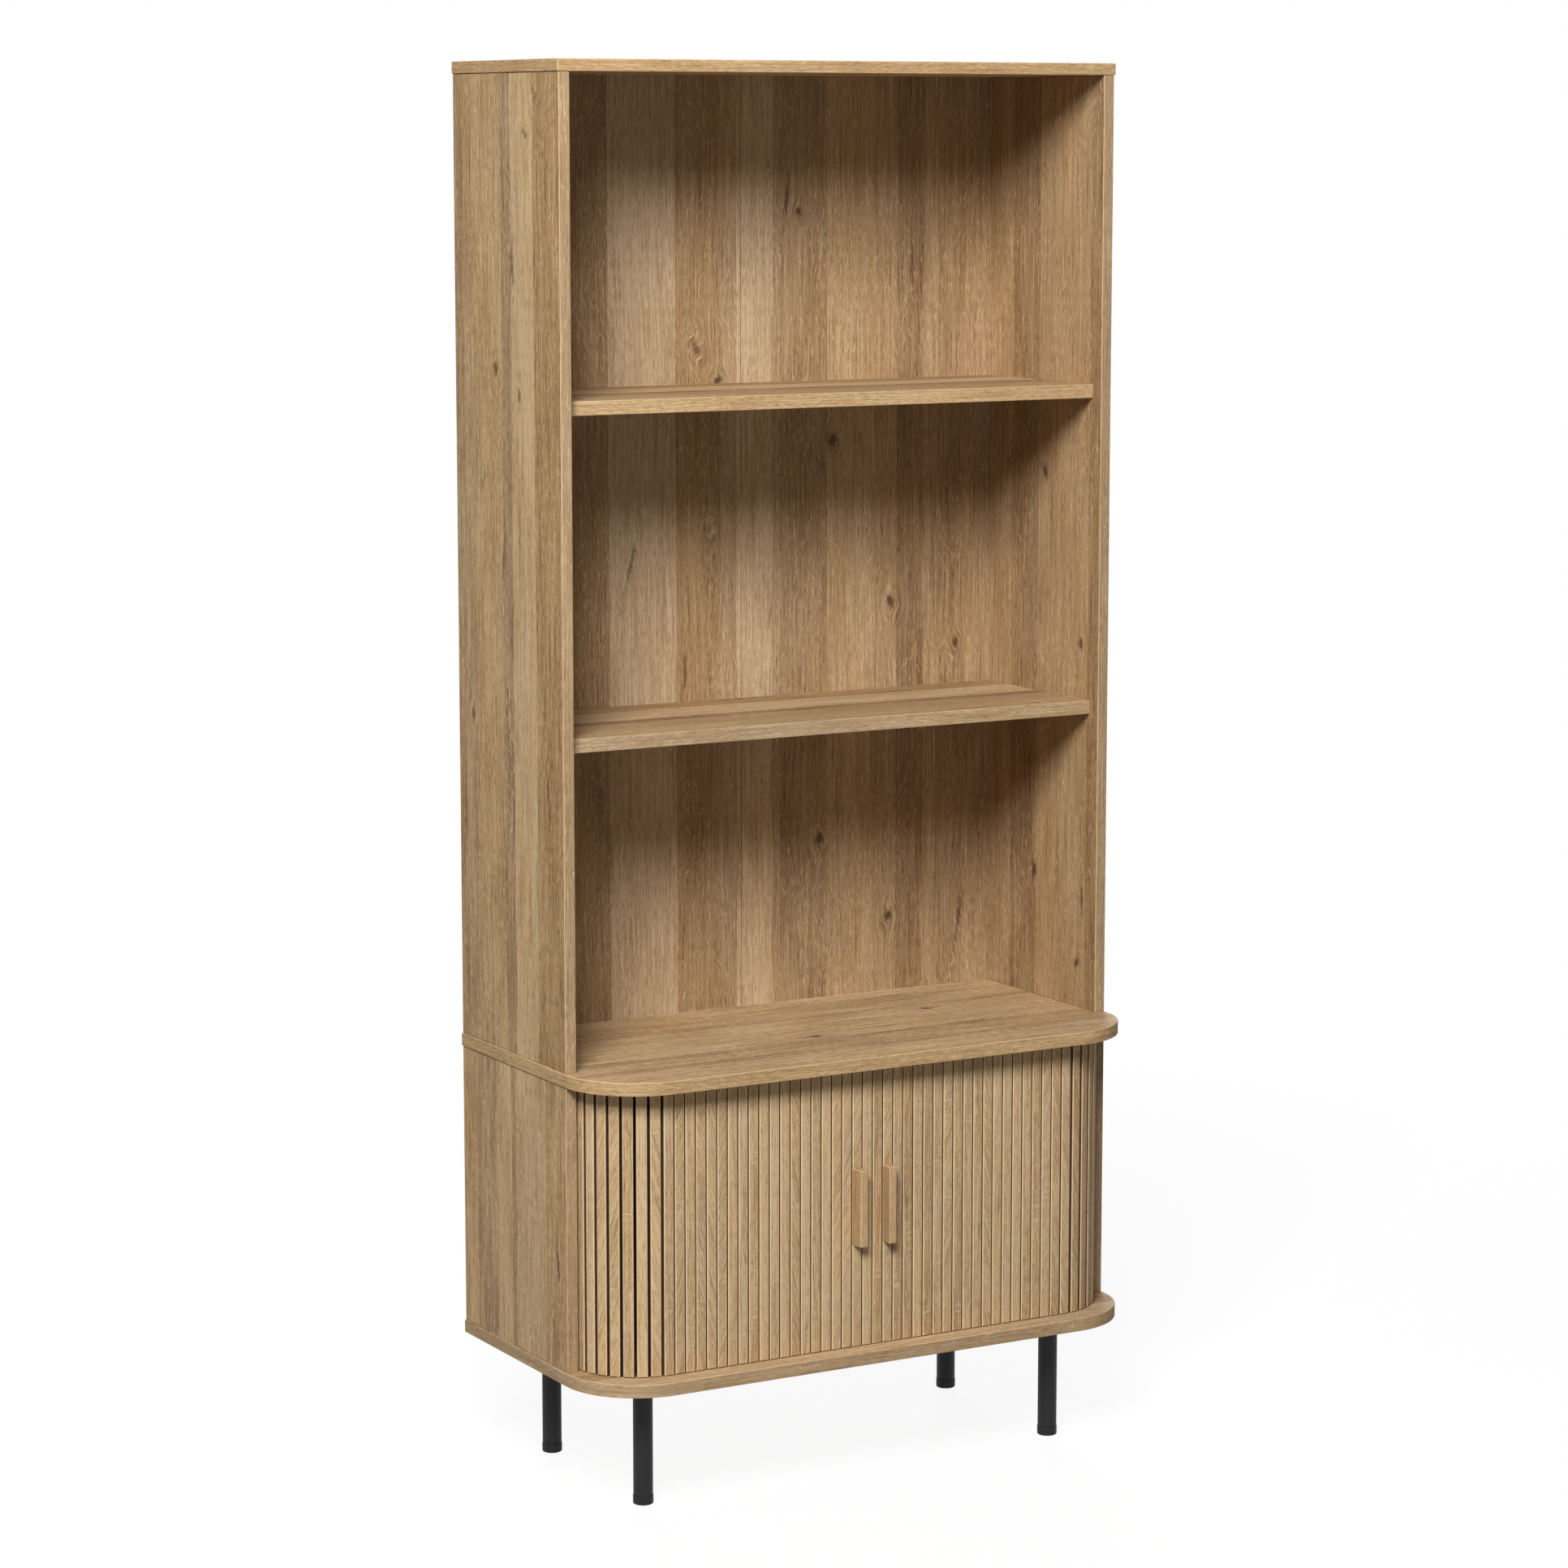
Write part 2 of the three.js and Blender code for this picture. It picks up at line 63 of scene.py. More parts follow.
Colour = tuple[float, float, float, float]
Stops = Sequence[tuple[float, Colour]]
Place = tuple[float, float, float]
Shape = bmesh.types.BMesh
Edges = list[bmesh.types.BMEdge]
EdgeTest = Callable[[bmesh.types.BMEdge], bool]
Node = bpy.types.Node
Socket = bpy.types.NodeSocket

BLACK = (0.0, 0.0, 0.0, 1.0)
WHITE = (1.0, 1.0, 1.0, 1.0)


def tint(red: int, green: int, blue: int) -> Colour:
    """A colour given in screen values, as the linear values that a shader takes.

    Args:
        red: Red from 0 to 255.
        green: Green from 0 to 255.
        blue: Blue from 0 to 255.

    Returns:
        Linear red, green and blue with an alpha of 1.
    """
    # The numbers are those of the standard screen curve.
    linear = [
        part / 12.92 if part <= 0.04045 else ((part + 0.055) / 1.055) ** 2.4
        for part in (red / 255, green / 255, blue / 255)
    ]
    return (linear[0], linear[1], linear[2], 1.0)


@dataclass(frozen=True)
class Pattern:
    """Noise that is stretched along the grain.

    Attributes:
        across: How many features there are in a metre across.
        along: How many there are in a metre along.
        start: Where on the noise it starts, so that no two are alike.
        detail: How much finer noise lies over it.
        twist: How far it curls.
    """

    across: float
    along: float
    start: float
    detail: float = 1.0
    twist: float = 0.0


class Wiring:
    """Adds nodes to one tree and joins them up."""

    # A pattern's start along the grain, for each metre of its start across.
    START_ALONG = 0.61
    NOISE_ROUGHNESS = 0.55
    # Where a mix of colours has its share, its two colours and its result.
    MIX_INPUTS = (0, 6, 7)
    MIX_RESULT = 2

    def __init__(self, tree: bpy.types.NodeTree) -> None:
        """Takes the tree to work on."""
        self.tree = tree

    def node(self, kind: str, **settings: object) -> Node:
        """Adds a node.

        Args:
            kind: The node's type, without its ShaderNode prefix.
            **settings: Properties to set on it.

        Returns:
            The new node.
        """
        made = self.tree.nodes.new("ShaderNode" + kind)
        for name, value in settings.items():
            setattr(made, name, value)
        return made

    def feed(self, socket: Socket, source: object) -> None:
        """Gives an input a constant or another node's output.

        Args:
            socket: The input.
            source: An output socket, or the value to write on the input.
        """
        if isinstance(source, Socket):
            self.tree.links.new(source, socket)
        else:
            socket.default_value = source

    def fed(self, made: Node, *values: object) -> Node:
        """Gives a node's first inputs their values.

        Args:
            made: The node.
            *values: What its inputs get, in order.

        Returns:
            The same node.
        """
        for socket, value in zip(made.inputs, values):
            self.feed(socket, value)
        return made

    def sum(self, how: str, *values: object, clamp: bool = False) -> Socket:
        """One step of arithmetic.

        Args:
            how: The operation.
            *values: Its inputs, in order.
            clamp: Whether the result is held between 0 and 1.

        Returns:
            The result's socket.
        """
        return self.fed(self.node("Math", operation=how, use_clamp=clamp), *values).outputs[0]

    def times(self, *values: object) -> Socket:
        """Multiplies numbers.

        Args:
            *values: Two or more numbers or sockets.

        Returns:
            The product's socket.
        """
        product, *others = values
        for other in others:
            product = self.sum("MULTIPLY", product, other)
        return product

    def vector(self, how: str, *values: object) -> Socket:
        """One step of arithmetic on vectors, as the operation and its inputs."""
        return self.fed(self.node("VectorMath", operation=how), *values).outputs[0]

    def parts(self, vector: Socket) -> list[Socket]:
        """The three numbers in a vector or a colour."""
        return self.fed(self.node("SeparateXYZ"), vector).outputs[:3]

    def grain_map(self) -> list[Socket]:
        """The distances across and along the grain, from the piece's own map."""
        return self.parts(self.node("UVMap", uv_map="grain").outputs[0])[:2]

    def spread(self, value: object, low: float, high: float, to_low: float = 0.0,
               to_high: float = 1.0) -> Socket:
        """Stretches a range of values to another, smoothly and clamped.

        Args:
            value: The value to stretch.
            low: What becomes to_low.
            high: What becomes to_high.
            to_low: The result's start.
            to_high: The result's end.

        Returns:
            The result's socket.
        """
        made = self.node("MapRange", interpolation_type="SMOOTHSTEP")
        return self.fed(made, value, low, high, to_low, to_high).outputs[0]

    def pair(self, across: object, along: object) -> Socket:
        """Two distances as one vector."""
        return self.fed(self.node("CombineXYZ"), across, along).outputs[0]

    def noise(self, place: object, pattern: Pattern) -> Socket:
        """A pattern's value at a place, about 0.5 on average.

        Args:
            place: Distances across and along the grain, in metres.
            pattern: The noise to read.

        Returns:
            The value's socket.
        """
        pitch = (pattern.across, pattern.along, 1.0)
        start = (pattern.start, pattern.start * self.START_ALONG, 0.0)
        made = self.node("TexNoise", noise_dimensions="2D")
        self.feed(made.inputs["Vector"], self.vector("MULTIPLY_ADD", place, pitch, start))
        made.inputs["Scale"].default_value = 1.0
        made.inputs["Detail"].default_value = pattern.detail
        made.inputs["Roughness"].default_value = self.NOISE_ROUGHNESS
        made.inputs["Distortion"].default_value = pattern.twist
        return made.outputs[0]

    def swing(self, place: object, pattern: Pattern) -> Socket:
        """A pattern's value at a place, about 0 on average."""
        return self.sum("SUBTRACT", self.noise(place, pattern), 0.5)

    def blend(self, share: object, first: object, second: object, how: str = "MIX") -> Socket:
        """Mixes two colours.

        Args:
            share: How much of the second shows.
            first: The first colour.
            second: The second colour.
            how: The way of blending.

        Returns:
            The mixed colour's socket.
        """
        made = self.node("Mix", data_type="RGBA", blend_type=how)
        for index, source in zip(self.MIX_INPUTS, (share, first, second)):
            self.feed(made.inputs[index], source)
        return made.outputs[self.MIX_RESULT]

    def ramp(self, value: object, stops: Stops, steps: bool = False) -> Socket:
        """Reads a colour off a row of stops.

        Args:
            value: Where on the row to read, from 0 to 1.
            stops: Places and their colours, in order.
            steps: Whether the colour jumps from stop to stop.

        Returns:
            The colour's socket.
        """
        made = self.node("ValToRGB")
        row = made.color_ramp
        row.interpolation = "CONSTANT" if steps else "LINEAR"
        while len(row.elements) < len(stops):
            row.elements.new(1.0)
        for stop, (place, colour) in zip(row.elements, stops):
            stop.position = place
            stop.color = colour
        return self.fed(made, value).outputs[0]

    def bump(self, height: object, strength: float, distance: float) -> Socket:
        """A normal tilted by a height.

        Args:
            height: The height's socket.
            strength: How much of it is felt.
            distance: What a height of 1 stands for, in metres.

        Returns:
            The normal's socket.
        """
        made = self.node("Bump")
        made.inputs["Strength"].default_value = strength
        made.inputs["Distance"].default_value = distance
        self.feed(made.inputs["Height"], height)
        return made.outputs[0]


def shader_group(name: str, inputs: Iterable[str],
                 outputs: Iterable[tuple[str, str]]) -> tuple[Wiring, list[Socket], list[Socket]]:
    """Starts a node group.

    Args:
        name: The group's name.
        inputs: Names of its inputs, which are all numbers.
        outputs: Names and kinds of its outputs.

    Returns:
        The wiring of its tree, what it is given and the sockets of its results.
    """
    tree = bpy.data.node_groups.new(name, "ShaderNodeTree")
    for word in inputs:
        tree.interface.new_socket(name=word, in_out="INPUT", socket_type="NodeSocketFloat")
    for word, kind in outputs:
        tree.interface.new_socket(name=word, in_out="OUTPUT", socket_type="NodeSocket" + kind)
    given, result = (tree.nodes.new("NodeGroup" + way) for way in ("Input", "Output"))
    # Both end with an empty socket, which is left out.
    return Wiring(tree), given.outputs[:-1], result.inputs[:-1]


def placed_group(wiring: Wiring, name: str, **values: object) -> Node:
    """Places a node group in a tree.

    Args:
        wiring: The tree's wiring.
        name: The group's name.
        **values: What its inputs get; an underscore in a name stands for a space.

    Returns:
        The group's node.
    """
    made = wiring.node("Group")
    made.node_tree = bpy.data.node_groups[name]
    for word, value in values.items():
        wiring.feed(made.inputs[word.replace("_", " ")], value)
    return made


class Tone(Enum):
    """How dark one plank of the oak is, from 0, dark, to 1, pale."""

    UMBER = 0.28
    BROWN = 0.39
    TAN = 0.50
    GOLD = 0.60
    PALE = 0.76


@dataclass(frozen=True)
class Knot:
    """A knot, or with a long stretch a split, in the oak.

    Attributes:
        across: Its place across the grain, in metres.
        along: Its place along the grain, in metres.
        size: Half its width, in metres.
        stretch: How many times longer than wide it is.
        lean: How far it leans, in metres across for each metre along.
        depth: How dark its middle is.
    """

    across: float
    along: float
    size: float = 0.004
    stretch: float = 2.0
    lean: float = 0.0
    depth: float = 0.8


@dataclass(frozen=True)
class Plank:
    """One plank of the oak.

    Attributes:
        width: Its width in millimetres.
        tone: How dark it is.
        warmth: Its hue, from -1, greyish, to 1, reddish.
    """

    width: float
    tone: Tone
    warmth: float = 0.0


OAK_TONES = (
    (0.0, tint(108, 80, 52)),
    (0.25, tint(143, 113, 79)),
    (0.5, tint(169, 139, 101)),
    (0.75, tint(187, 157, 118)),
    (1.0, tint(210, 183, 144)),
)
OAK_COOL = (0.97, 0.995, 1.09, 1.0)
OAK_WARM = (1.045, 0.995, 0.90, 1.0)
OAK_PORE = tint(98, 72, 48)
OAK_FLECK = tint(216, 190, 148)
OAK_KNOT = tint(60, 40, 26)
# The pale colour of the painted highlight on the slats' rounded front edges.
OAK_SLAT_HIGHLIGHT = tint(238, 212, 172)
OAK_GLOSS = 0.22
OAK_ROUGHNESS = 0.62
OAK_ROUGHNESS_SWING = 0.16

# Ranges are written as low, high and, where they don't go from 0 to 1, what these become.
FLECK_CELLS = (112.0, 50.0, 1.0)
FLECK_DRIFT = Pattern(34, 11, 23.7)
FLECK_DRIFT_RANGE = (0.36, 0.64, -1.15, 1.15)
FLECK_LEAN_SWING = 1.1
FLECK_WIDTH_RANGE = (0.02, 0.10, 1.0, 0.0)
FLECK_REACH = 0.20
FLECK_REACH_SWING = 0.26
FLECK_END_RANGE = (0.6, 1.0, 1.0, 0.0)
FLECK_PATCHES = Pattern(13, 4, 71.1)
FLECK_PATCH_RANGE = (0.44, 0.66)
FLECKS_IN_PATCH = 0.70
FLECKS_ELSEWHERE = 0.03


def build_oak_flecks() -> None:
    """Makes the group that strews short, pale, slanting flecks in patches over oak."""
    wiring, (across, along), (result,) = shader_group(
        "oak flecks", ("Across", "Along"), (("Fleck", "Float"),))
    straight = wiring.pair(across, along)
    cells = wiring.vector("MULTIPLY", straight, FLECK_CELLS)
    spots = wiring.node("TexVoronoi", voronoi_dimensions="2D", feature="F1")
    wiring.feed(spots.inputs["Vector"], cells)
    spots.inputs["Scale"].default_value = 1.0
    aside, rise, _ = wiring.parts(wiring.vector("SUBTRACT", cells, spots.outputs["Position"]))
    turned, chance, length = wiring.parts(spots.outputs["Color"])
    drift = wiring.spread(wiring.noise(straight, FLECK_DRIFT), *FLECK_DRIFT_RANGE)
    lean = wiring.sum("MULTIPLY_ADD", wiring.sum("SUBTRACT", turned, 0.5), FLECK_LEAN_SWING, drift)
    bow = wiring.times(rise, rise, lean)
    course = wiring.sum("SUBTRACT", wiring.sum("SUBTRACT", aside, wiring.times(lean, rise)), bow)
    thin = wiring.spread(wiring.sum("ABSOLUTE", course), *FLECK_WIDTH_RANGE)
    reach = wiring.sum("MULTIPLY_ADD", length, FLECK_REACH_SWING, FLECK_REACH)
    short = wiring.spread(wiring.sum("DIVIDE", wiring.sum("ABSOLUTE", rise), reach), *FLECK_END_RANGE)
    patch = wiring.spread(wiring.noise(straight, FLECK_PATCHES), *FLECK_PATCH_RANGE)
    share = wiring.sum("MULTIPLY_ADD", patch, FLECKS_IN_PATCH, FLECKS_ELSEWHERE)
    wiring.feed(result, wiring.times(thin, short, wiring.sum("LESS_THAN", chance, share)))


OAK_SWAY = Pattern(8, 3.4, 3.1)
OAK_SWAY_REACH = 0.014
OAK_LINES = Pattern(560, 9, 27.3, 2)
OAK_LINE_SHARE = 1.05
OAK_SHADES = (
    (Pattern(21, 5.6, 5.9, 2), 0.34), (Pattern(130, 2.8, 11.7, 2), 0.30), (Pattern(820, 78, 51.3), 0.72),
)
OAK_PORES = Pattern(1100, 48, 41.9)
OAK_PORE_RANGE = (0.60, 0.72)
OAK_VEINS = Pattern(44, 1.5, 8.3, 2)
OAK_VEIN_RANGE = (0.0, 0.014, 1.0, 0.0)
OAK_VEIN_PATCHES = Pattern(9, 3.1, 90.2)
OAK_VEIN_PATCH_RANGE = (0.50, 0.62)
OAK_CURLS = Pattern(620, 150, 17.9, 2, 1.4)
OAK_CURL_RANGE = (0.56, 0.66)
OAK_CURL_PATCHES = Pattern(11, 2.6, 44.5)
OAK_CURL_PATCH_RANGE = (0.50, 0.64)
OAK_CURL_WARMTH_RANGE = (0.84, 0.94)
OAK_HUES = Pattern(17, 2.3, 63.7, 2)
OAK_HUE_SWING = 1.3
OAK_LINE_HEIGHT = 0.6
PORE_SHARE, VEIN_SHARE, CURL_SHARE, FLECK_SHARE = 0.36, 0.42, 0.34, 0.66


def build_oak_print() -> None:
    """Makes the group that draws oak: streaks, lines, dashes, pores, veins, curls and flecks."""
    wiring, given, (coloured, roughness, height) = shader_group(
        "oak print",
        ("Across", "Along", "Tone", "Warmth", "Knots", "Contrast"),
        (("Colour", "Color"), ("Roughness", "Float"), ("Height", "Float")),
    )
    across, along, tone, warmth, knots, contrast = given
    straight = wiring.pair(across, along)
    sway = wiring.times(wiring.swing(straight, OAK_SWAY), OAK_SWAY_REACH)
    run = wiring.pair(wiring.sum("ADD", across, sway), along)
    lines = wiring.noise(run, OAK_LINES)
    change: object = 0.0
    for pattern, share in OAK_SHADES:
        change = wiring.sum("MULTIPLY_ADD", wiring.swing(run, pattern), share, change)
    change = wiring.sum("MULTIPLY_ADD", wiring.sum("SUBTRACT", lines, 0.5), OAK_LINE_SHARE, change)
    level = wiring.sum("MULTIPLY_ADD", change, contrast, tone, clamp=True)
    pores = wiring.spread(wiring.noise(run, OAK_PORES), *OAK_PORE_RANGE)
    veins = wiring.spread(wiring.sum("ABSOLUTE", wiring.swing(run, OAK_VEINS)), *OAK_VEIN_RANGE)
    vein_patch = wiring.spread(wiring.noise(straight, OAK_VEIN_PATCHES), *OAK_VEIN_PATCH_RANGE)
    curls = wiring.spread(wiring.noise(straight, OAK_CURLS), *OAK_CURL_RANGE)
    curl_patch = wiring.spread(wiring.noise(run, OAK_CURL_PATCHES), *OAK_CURL_PATCH_RANGE)
    curl_patch = wiring.sum("MAXIMUM", curl_patch, wiring.spread(warmth, *OAK_CURL_WARMTH_RANGE))
    flecks = placed_group(wiring, "oak flecks", Across=across, Along=along).outputs[0]
    hue = wiring.sum("MULTIPLY_ADD", wiring.swing(run, OAK_HUES), OAK_HUE_SWING, warmth, clamp=True)
    hues = wiring.blend(hue, OAK_COOL, OAK_WARM)
    colour = wiring.blend(1.0, wiring.ramp(level, OAK_TONES), hues, "MULTIPLY")
    for share, shade in (
        (wiring.times(pores, PORE_SHARE), OAK_PORE),
        (wiring.times(veins, vein_patch, VEIN_SHARE), OAK_PORE),
        (wiring.times(curls, curl_patch, CURL_SHARE), OAK_PORE),
        (wiring.times(flecks, FLECK_SHARE), OAK_FLECK),
    ):
        colour = wiring.blend(share, colour, shade)
    wiring.feed(coloured, wiring.blend(knots, colour, OAK_KNOT))
    wiring.feed(roughness, wiring.sum("MULTIPLY_ADD", lines, OAK_ROUGHNESS_SWING, OAK_ROUGHNESS))
    wiring.feed(height, wiring.sum("SUBTRACT", wiring.times(lines, OAK_LINE_HEIGHT), pores))


KNOT_EDGE = Pattern(330, 160, 9.4)
KNOT_EDGE_SWING = 0.9
KNOT_EDGE_SHIFT = 0.45
KNOT_CORE_RANGE = (0.45, 1.5, 1.0, 0.0)
KNOT_NEAR_RANGE = (0.6, 5.0, 1.0, 0.0)
KNOT_RINGS = 5.2
KNOT_RING_SHARE = 0.16
KNOT_PULL = -0.8


def build_oak_knot() -> None:
    """Makes the group that bends the grain round one knot and darkens its middle."""
    wiring, given, (bend, darkness) = shader_group(
        "oak knot",
        ("Across", "Along", "Middle Across", "Middle Along", "Size", "Stretch", "Lean", "Depth"),
        (("Bend", "Float"), ("Dark", "Float")),
    )
    across, along, middle_across, middle_along, size, stretch, lean, depth = given
    rise = wiring.sum("SUBTRACT", along, middle_along)
    aside = wiring.sum("SUBTRACT", across, middle_across)
    aside = wiring.sum("SUBTRACT", aside, wiring.times(rise, lean))
    wide = wiring.sum("DIVIDE", aside, size)
    long = wiring.sum("DIVIDE", wiring.sum("DIVIDE", rise, size), stretch)
    reach = wiring.sum("SQRT", wiring.sum("MULTIPLY_ADD", wide, wide, wiring.times(long, long)))
    edge = wiring.noise(wiring.pair(across, along), KNOT_EDGE)
    ragged = wiring.sum("SUBTRACT", reach, KNOT_EDGE_SHIFT)
    ragged = wiring.sum("MULTIPLY_ADD", edge, KNOT_EDGE_SWING, ragged)
    core = wiring.spread(ragged, *KNOT_CORE_RANGE)
    near = wiring.spread(reach, *KNOT_NEAR_RANGE)
    rings = wiring.times(wiring.sum("SINE", wiring.times(reach, KNOT_RINGS)), wiring.times(near, near))
    dark = wiring.sum("MULTIPLY_ADD", rings, KNOT_RING_SHARE, core, clamp=True)
    wiring.feed(bend, wiring.times(aside, near, KNOT_PULL))
    wiring.feed(darkness, wiring.times(dark, depth))


CLOUD_SIZE = 0.045
CLOUD_SHARE = 0.4
GRAIN_DETAIL, CLOUD_DETAIL = 2.0, 3.0


def build_speckle() -> None:
    """Makes the group of fine grains and soft clouds that powder coat, plastic and fibre board share."""
    wiring, (size, strength), (shade, height) = shader_group(
        "speckle", ("Size", "Strength"), (("Shade", "Float"), ("Height", "Float")))
    place = wiring.node("TexCoord").outputs["Object"]
    layers = []
    for scale, detail in ((size, GRAIN_DETAIL), (wiring.times(size, CLOUD_SIZE), CLOUD_DETAIL)):
        made = wiring.node("TexNoise")
        wiring.feed(made.inputs["Vector"], place)
        wiring.feed(made.inputs["Scale"], scale)
        made.inputs["Detail"].default_value = detail
        layers.append(made.outputs[0])
    grains, clouds = (wiring.sum("SUBTRACT", layer, 0.5) for layer in layers)
    wiring.feed(shade, wiring.times(wiring.sum("MULTIPLY_ADD", clouds, CLOUD_SHARE, grains), strength))
    wiring.feed(height, layers[0])


@dataclass(frozen=True)
class Finish:
    """A surface finish that makes its Blender material once.

    Attributes:
        name: The material's name.
    """

    name: str

    def material(self) -> bpy.types.Material:
        """Finds the finish's material, or makes it when it is first asked for.

        Returns:
            The material.
        """
        found = bpy.data.materials.get(self.name)
        if found:
            return found
        made = bpy.data.materials.new(self.name)
        made.use_nodes = True
        self.wire(Wiring(made.node_tree), made.node_tree.nodes["Principled BSDF"])
        return made

    def wire(self, wiring: Wiring, shader: Node) -> None:
        """Dresses the shader.

        Args:
            wiring: The material's wiring.
            shader: Its Principled BSDF.
        """
        raise NotImplementedError


def lay_oak(wiring: Wiring, shader: Node, drawn: Node, colour: Socket, relief: float) -> None:
    """Puts drawn oak on a shader, with the sheen of an oiled decor.

    Args:
        wiring: The material's wiring.
        shader: Its Principled BSDF.
        drawn: The placed oak print.
        colour: The oak's colour.
        relief: How much of the print's height is felt.
    """
    wiring.feed(shader.inputs["Base Color"], colour)
    wiring.feed(shader.inputs["Roughness"], drawn.outputs["Roughness"])
    wiring.feed(shader.inputs["Normal"], wiring.bump(drawn.outputs["Height"], relief, FINE_HEIGHT))
    shader.inputs["Specular IOR Level"].default_value = OAK_GLOSS


@dataclass(frozen=True)
class Oak(Finish):
    """Oak decor whose planks lie side by side.

    Attributes:
        start: Where the first plank starts across the grain, in metres.
        planks: The planks, side by side.
        knots: The knots in it.
        contrast: How strongly the grain is drawn.
        ease: How far the tones are lifted or lowered as a whole.
        warmth: How far the hue is moved as a whole.
    """

    RELIEF = 0.25

    start: float
    planks: tuple[Plank, ...]
    knots: tuple[Knot, ...] = ()
    contrast: float = 1.0
    ease: float = 0.0
    warmth: float = 0.0

    def plank_look(self, wiring: Wiring, across: Socket) -> tuple[Socket, Socket]:
        """The tone and the warmth of the plank at a place.

        Args:
            wiring: The material's wiring.
            across: The distance across the grain.

        Returns:
            The tone's socket and the warmth's socket, where 0.5 is neither greyish nor reddish.
        """
        total = sum(plank.width for plank in self.planks)
        share = wiring.sum("DIVIDE", wiring.sum("SUBTRACT", across, self.start), total * MM)
        stops, reached = [], 0.0
        for plank in self.planks:
            warmth = (plank.warmth + self.warmth + 1) / 2
            stops.append((reached / total, (plank.tone.value, warmth, 0.0, 1.0)))
            reached += plank.width
        look = wiring.fed(wiring.node("SeparateColor"), wiring.ramp(share, stops, steps=True))
        return wiring.sum("ADD", look.outputs[0], self.ease), look.outputs[1]

    def wire(self, wiring: Wiring, shader: Node) -> None:
        """Draws the planks and bends the grain round the knots.

        Args:
            wiring: The material's wiring.
            shader: Its Principled BSDF.
        """
        across, along = wiring.grain_map()
        bent: object = across
        dark: object = 0.0
        for knot in self.knots:
            made = placed_group(
                wiring, "oak knot", Across=across, Along=along, Middle_Across=knot.across,
                Middle_Along=knot.along, Size=knot.size, Stretch=knot.stretch, Lean=knot.lean,
                Depth=knot.depth)
            bent = wiring.sum("ADD", bent, made.outputs[0])
            dark = wiring.sum("MAXIMUM", dark, made.outputs[1])
        tone, warmth = self.plank_look(wiring, across)
        drawn = placed_group(
            wiring, "oak print", Across=bent, Along=along, Tone=tone, Warmth=warmth, Knots=dark,
            Contrast=self.contrast)
        lay_oak(wiring, shader, drawn, drawn.outputs["Colour"], self.RELIEF)


@dataclass(frozen=True)
class SlatOak(Finish):
    """Oak on the doors' slats, each with a tone of its own and a painted highlight on its rounded front
    edges.
    """

    RELIEF = 0.3
    WARMTH = 0.62
    BARS = Pattern(45, 300, 5.5)
    BAR_RANGE = (0.58, 0.68)
    BAR_PATCHES = Pattern(21, 16, 33.3)
    BAR_PATCH_RANGE = (0.62, 0.68)
    BAR_SHARE = 0.6
    HIGHLIGHT_RANGE = (1.02, 1.2, 0.0, 0.5)

    def wire(self, wiring: Wiring, shader: Node) -> None:
        """Reads each slat's tone from its faces, draws the grain up it, strews pale bars across it and
        paints a highlight on its rounded front edges.

        Args:
            wiring: The material's wiring.
            shader: Its Principled BSDF.
        """
        across, along = wiring.grain_map()
        place = wiring.pair(across, along)
        tone = wiring.node("Attribute", attribute_name="tone").outputs["Fac"]
        drawn = placed_group(
            wiring, "oak print", Across=across, Along=along, Tone=tone, Warmth=self.WARMTH, Knots=0.0,
            Contrast=1.0)
        # Painted highlight: where the tone runs above 1, on the slats' rounded front edges, the oak is
        # blended towards a pale colour.
        highlighted = wiring.blend(wiring.spread(tone, *self.HIGHLIGHT_RANGE), drawn.outputs["Colour"], OAK_SLAT_HIGHLIGHT)
        bars = wiring.spread(wiring.noise(place, self.BARS), *self.BAR_RANGE)
        patch = wiring.spread(wiring.noise(place, self.BAR_PATCHES), *self.BAR_PATCH_RANGE)
        barred = wiring.blend(wiring.times(bars, patch, self.BAR_SHARE), highlighted, OAK_FLECK)
        lay_oak(wiring, shader, drawn, barred, self.RELIEF)


@dataclass(frozen=True)
class Speckled(Finish):
    """A plain material with fine grains in it, such as powder coat, moulded plastic or fibre board.

    Attributes:
        base: Its colour.
        grains: How many grains there are in a metre.
        strength: How much the grains change the colour.
        roughness: How dull it is.
        raised: How far the grains stand up, in metres.
        metal: Whether it is bare metal.
    """

    RELIEF = 0.5
    LIGHTEST = 1.9
    ROUGHNESS_SWING = 0.4
    GLOSS = 0.3

    base: Colour
    grains: float
    strength: float
    roughness: float
    raised: float
    metal: bool = False

    def wire(self, wiring: Wiring, shader: Node) -> None:
        """Lays the grains over the plain colour, roughness and surface.

        Args:
            wiring: The material's wiring.
            shader: Its Principled BSDF.
        """
        made = placed_group(wiring, "speckle", Size=self.grains, Strength=self.strength)
        shade = made.outputs["Shade"]
        light = (*(min(1.0, part * self.LIGHTEST) for part in self.base[:3]), 1.0)
        stops = ((0.0, BLACK), (0.5, self.base), (1.0, light))
        wiring.feed(shader.inputs["Base Color"], wiring.ramp(wiring.sum("ADD", shade, 0.5), stops))
        roughness = wiring.sum("MULTIPLY_ADD", shade, self.ROUGHNESS_SWING, self.roughness)
        wiring.feed(shader.inputs["Roughness"], roughness)
        surface = wiring.bump(made.outputs["Height"], self.RELIEF, self.raised)
        wiring.feed(shader.inputs["Normal"], surface)
        shader.inputs["Metallic"].default_value = float(self.metal)
        shader.inputs["Specular IOR Level"].default_value = self.GLOSS


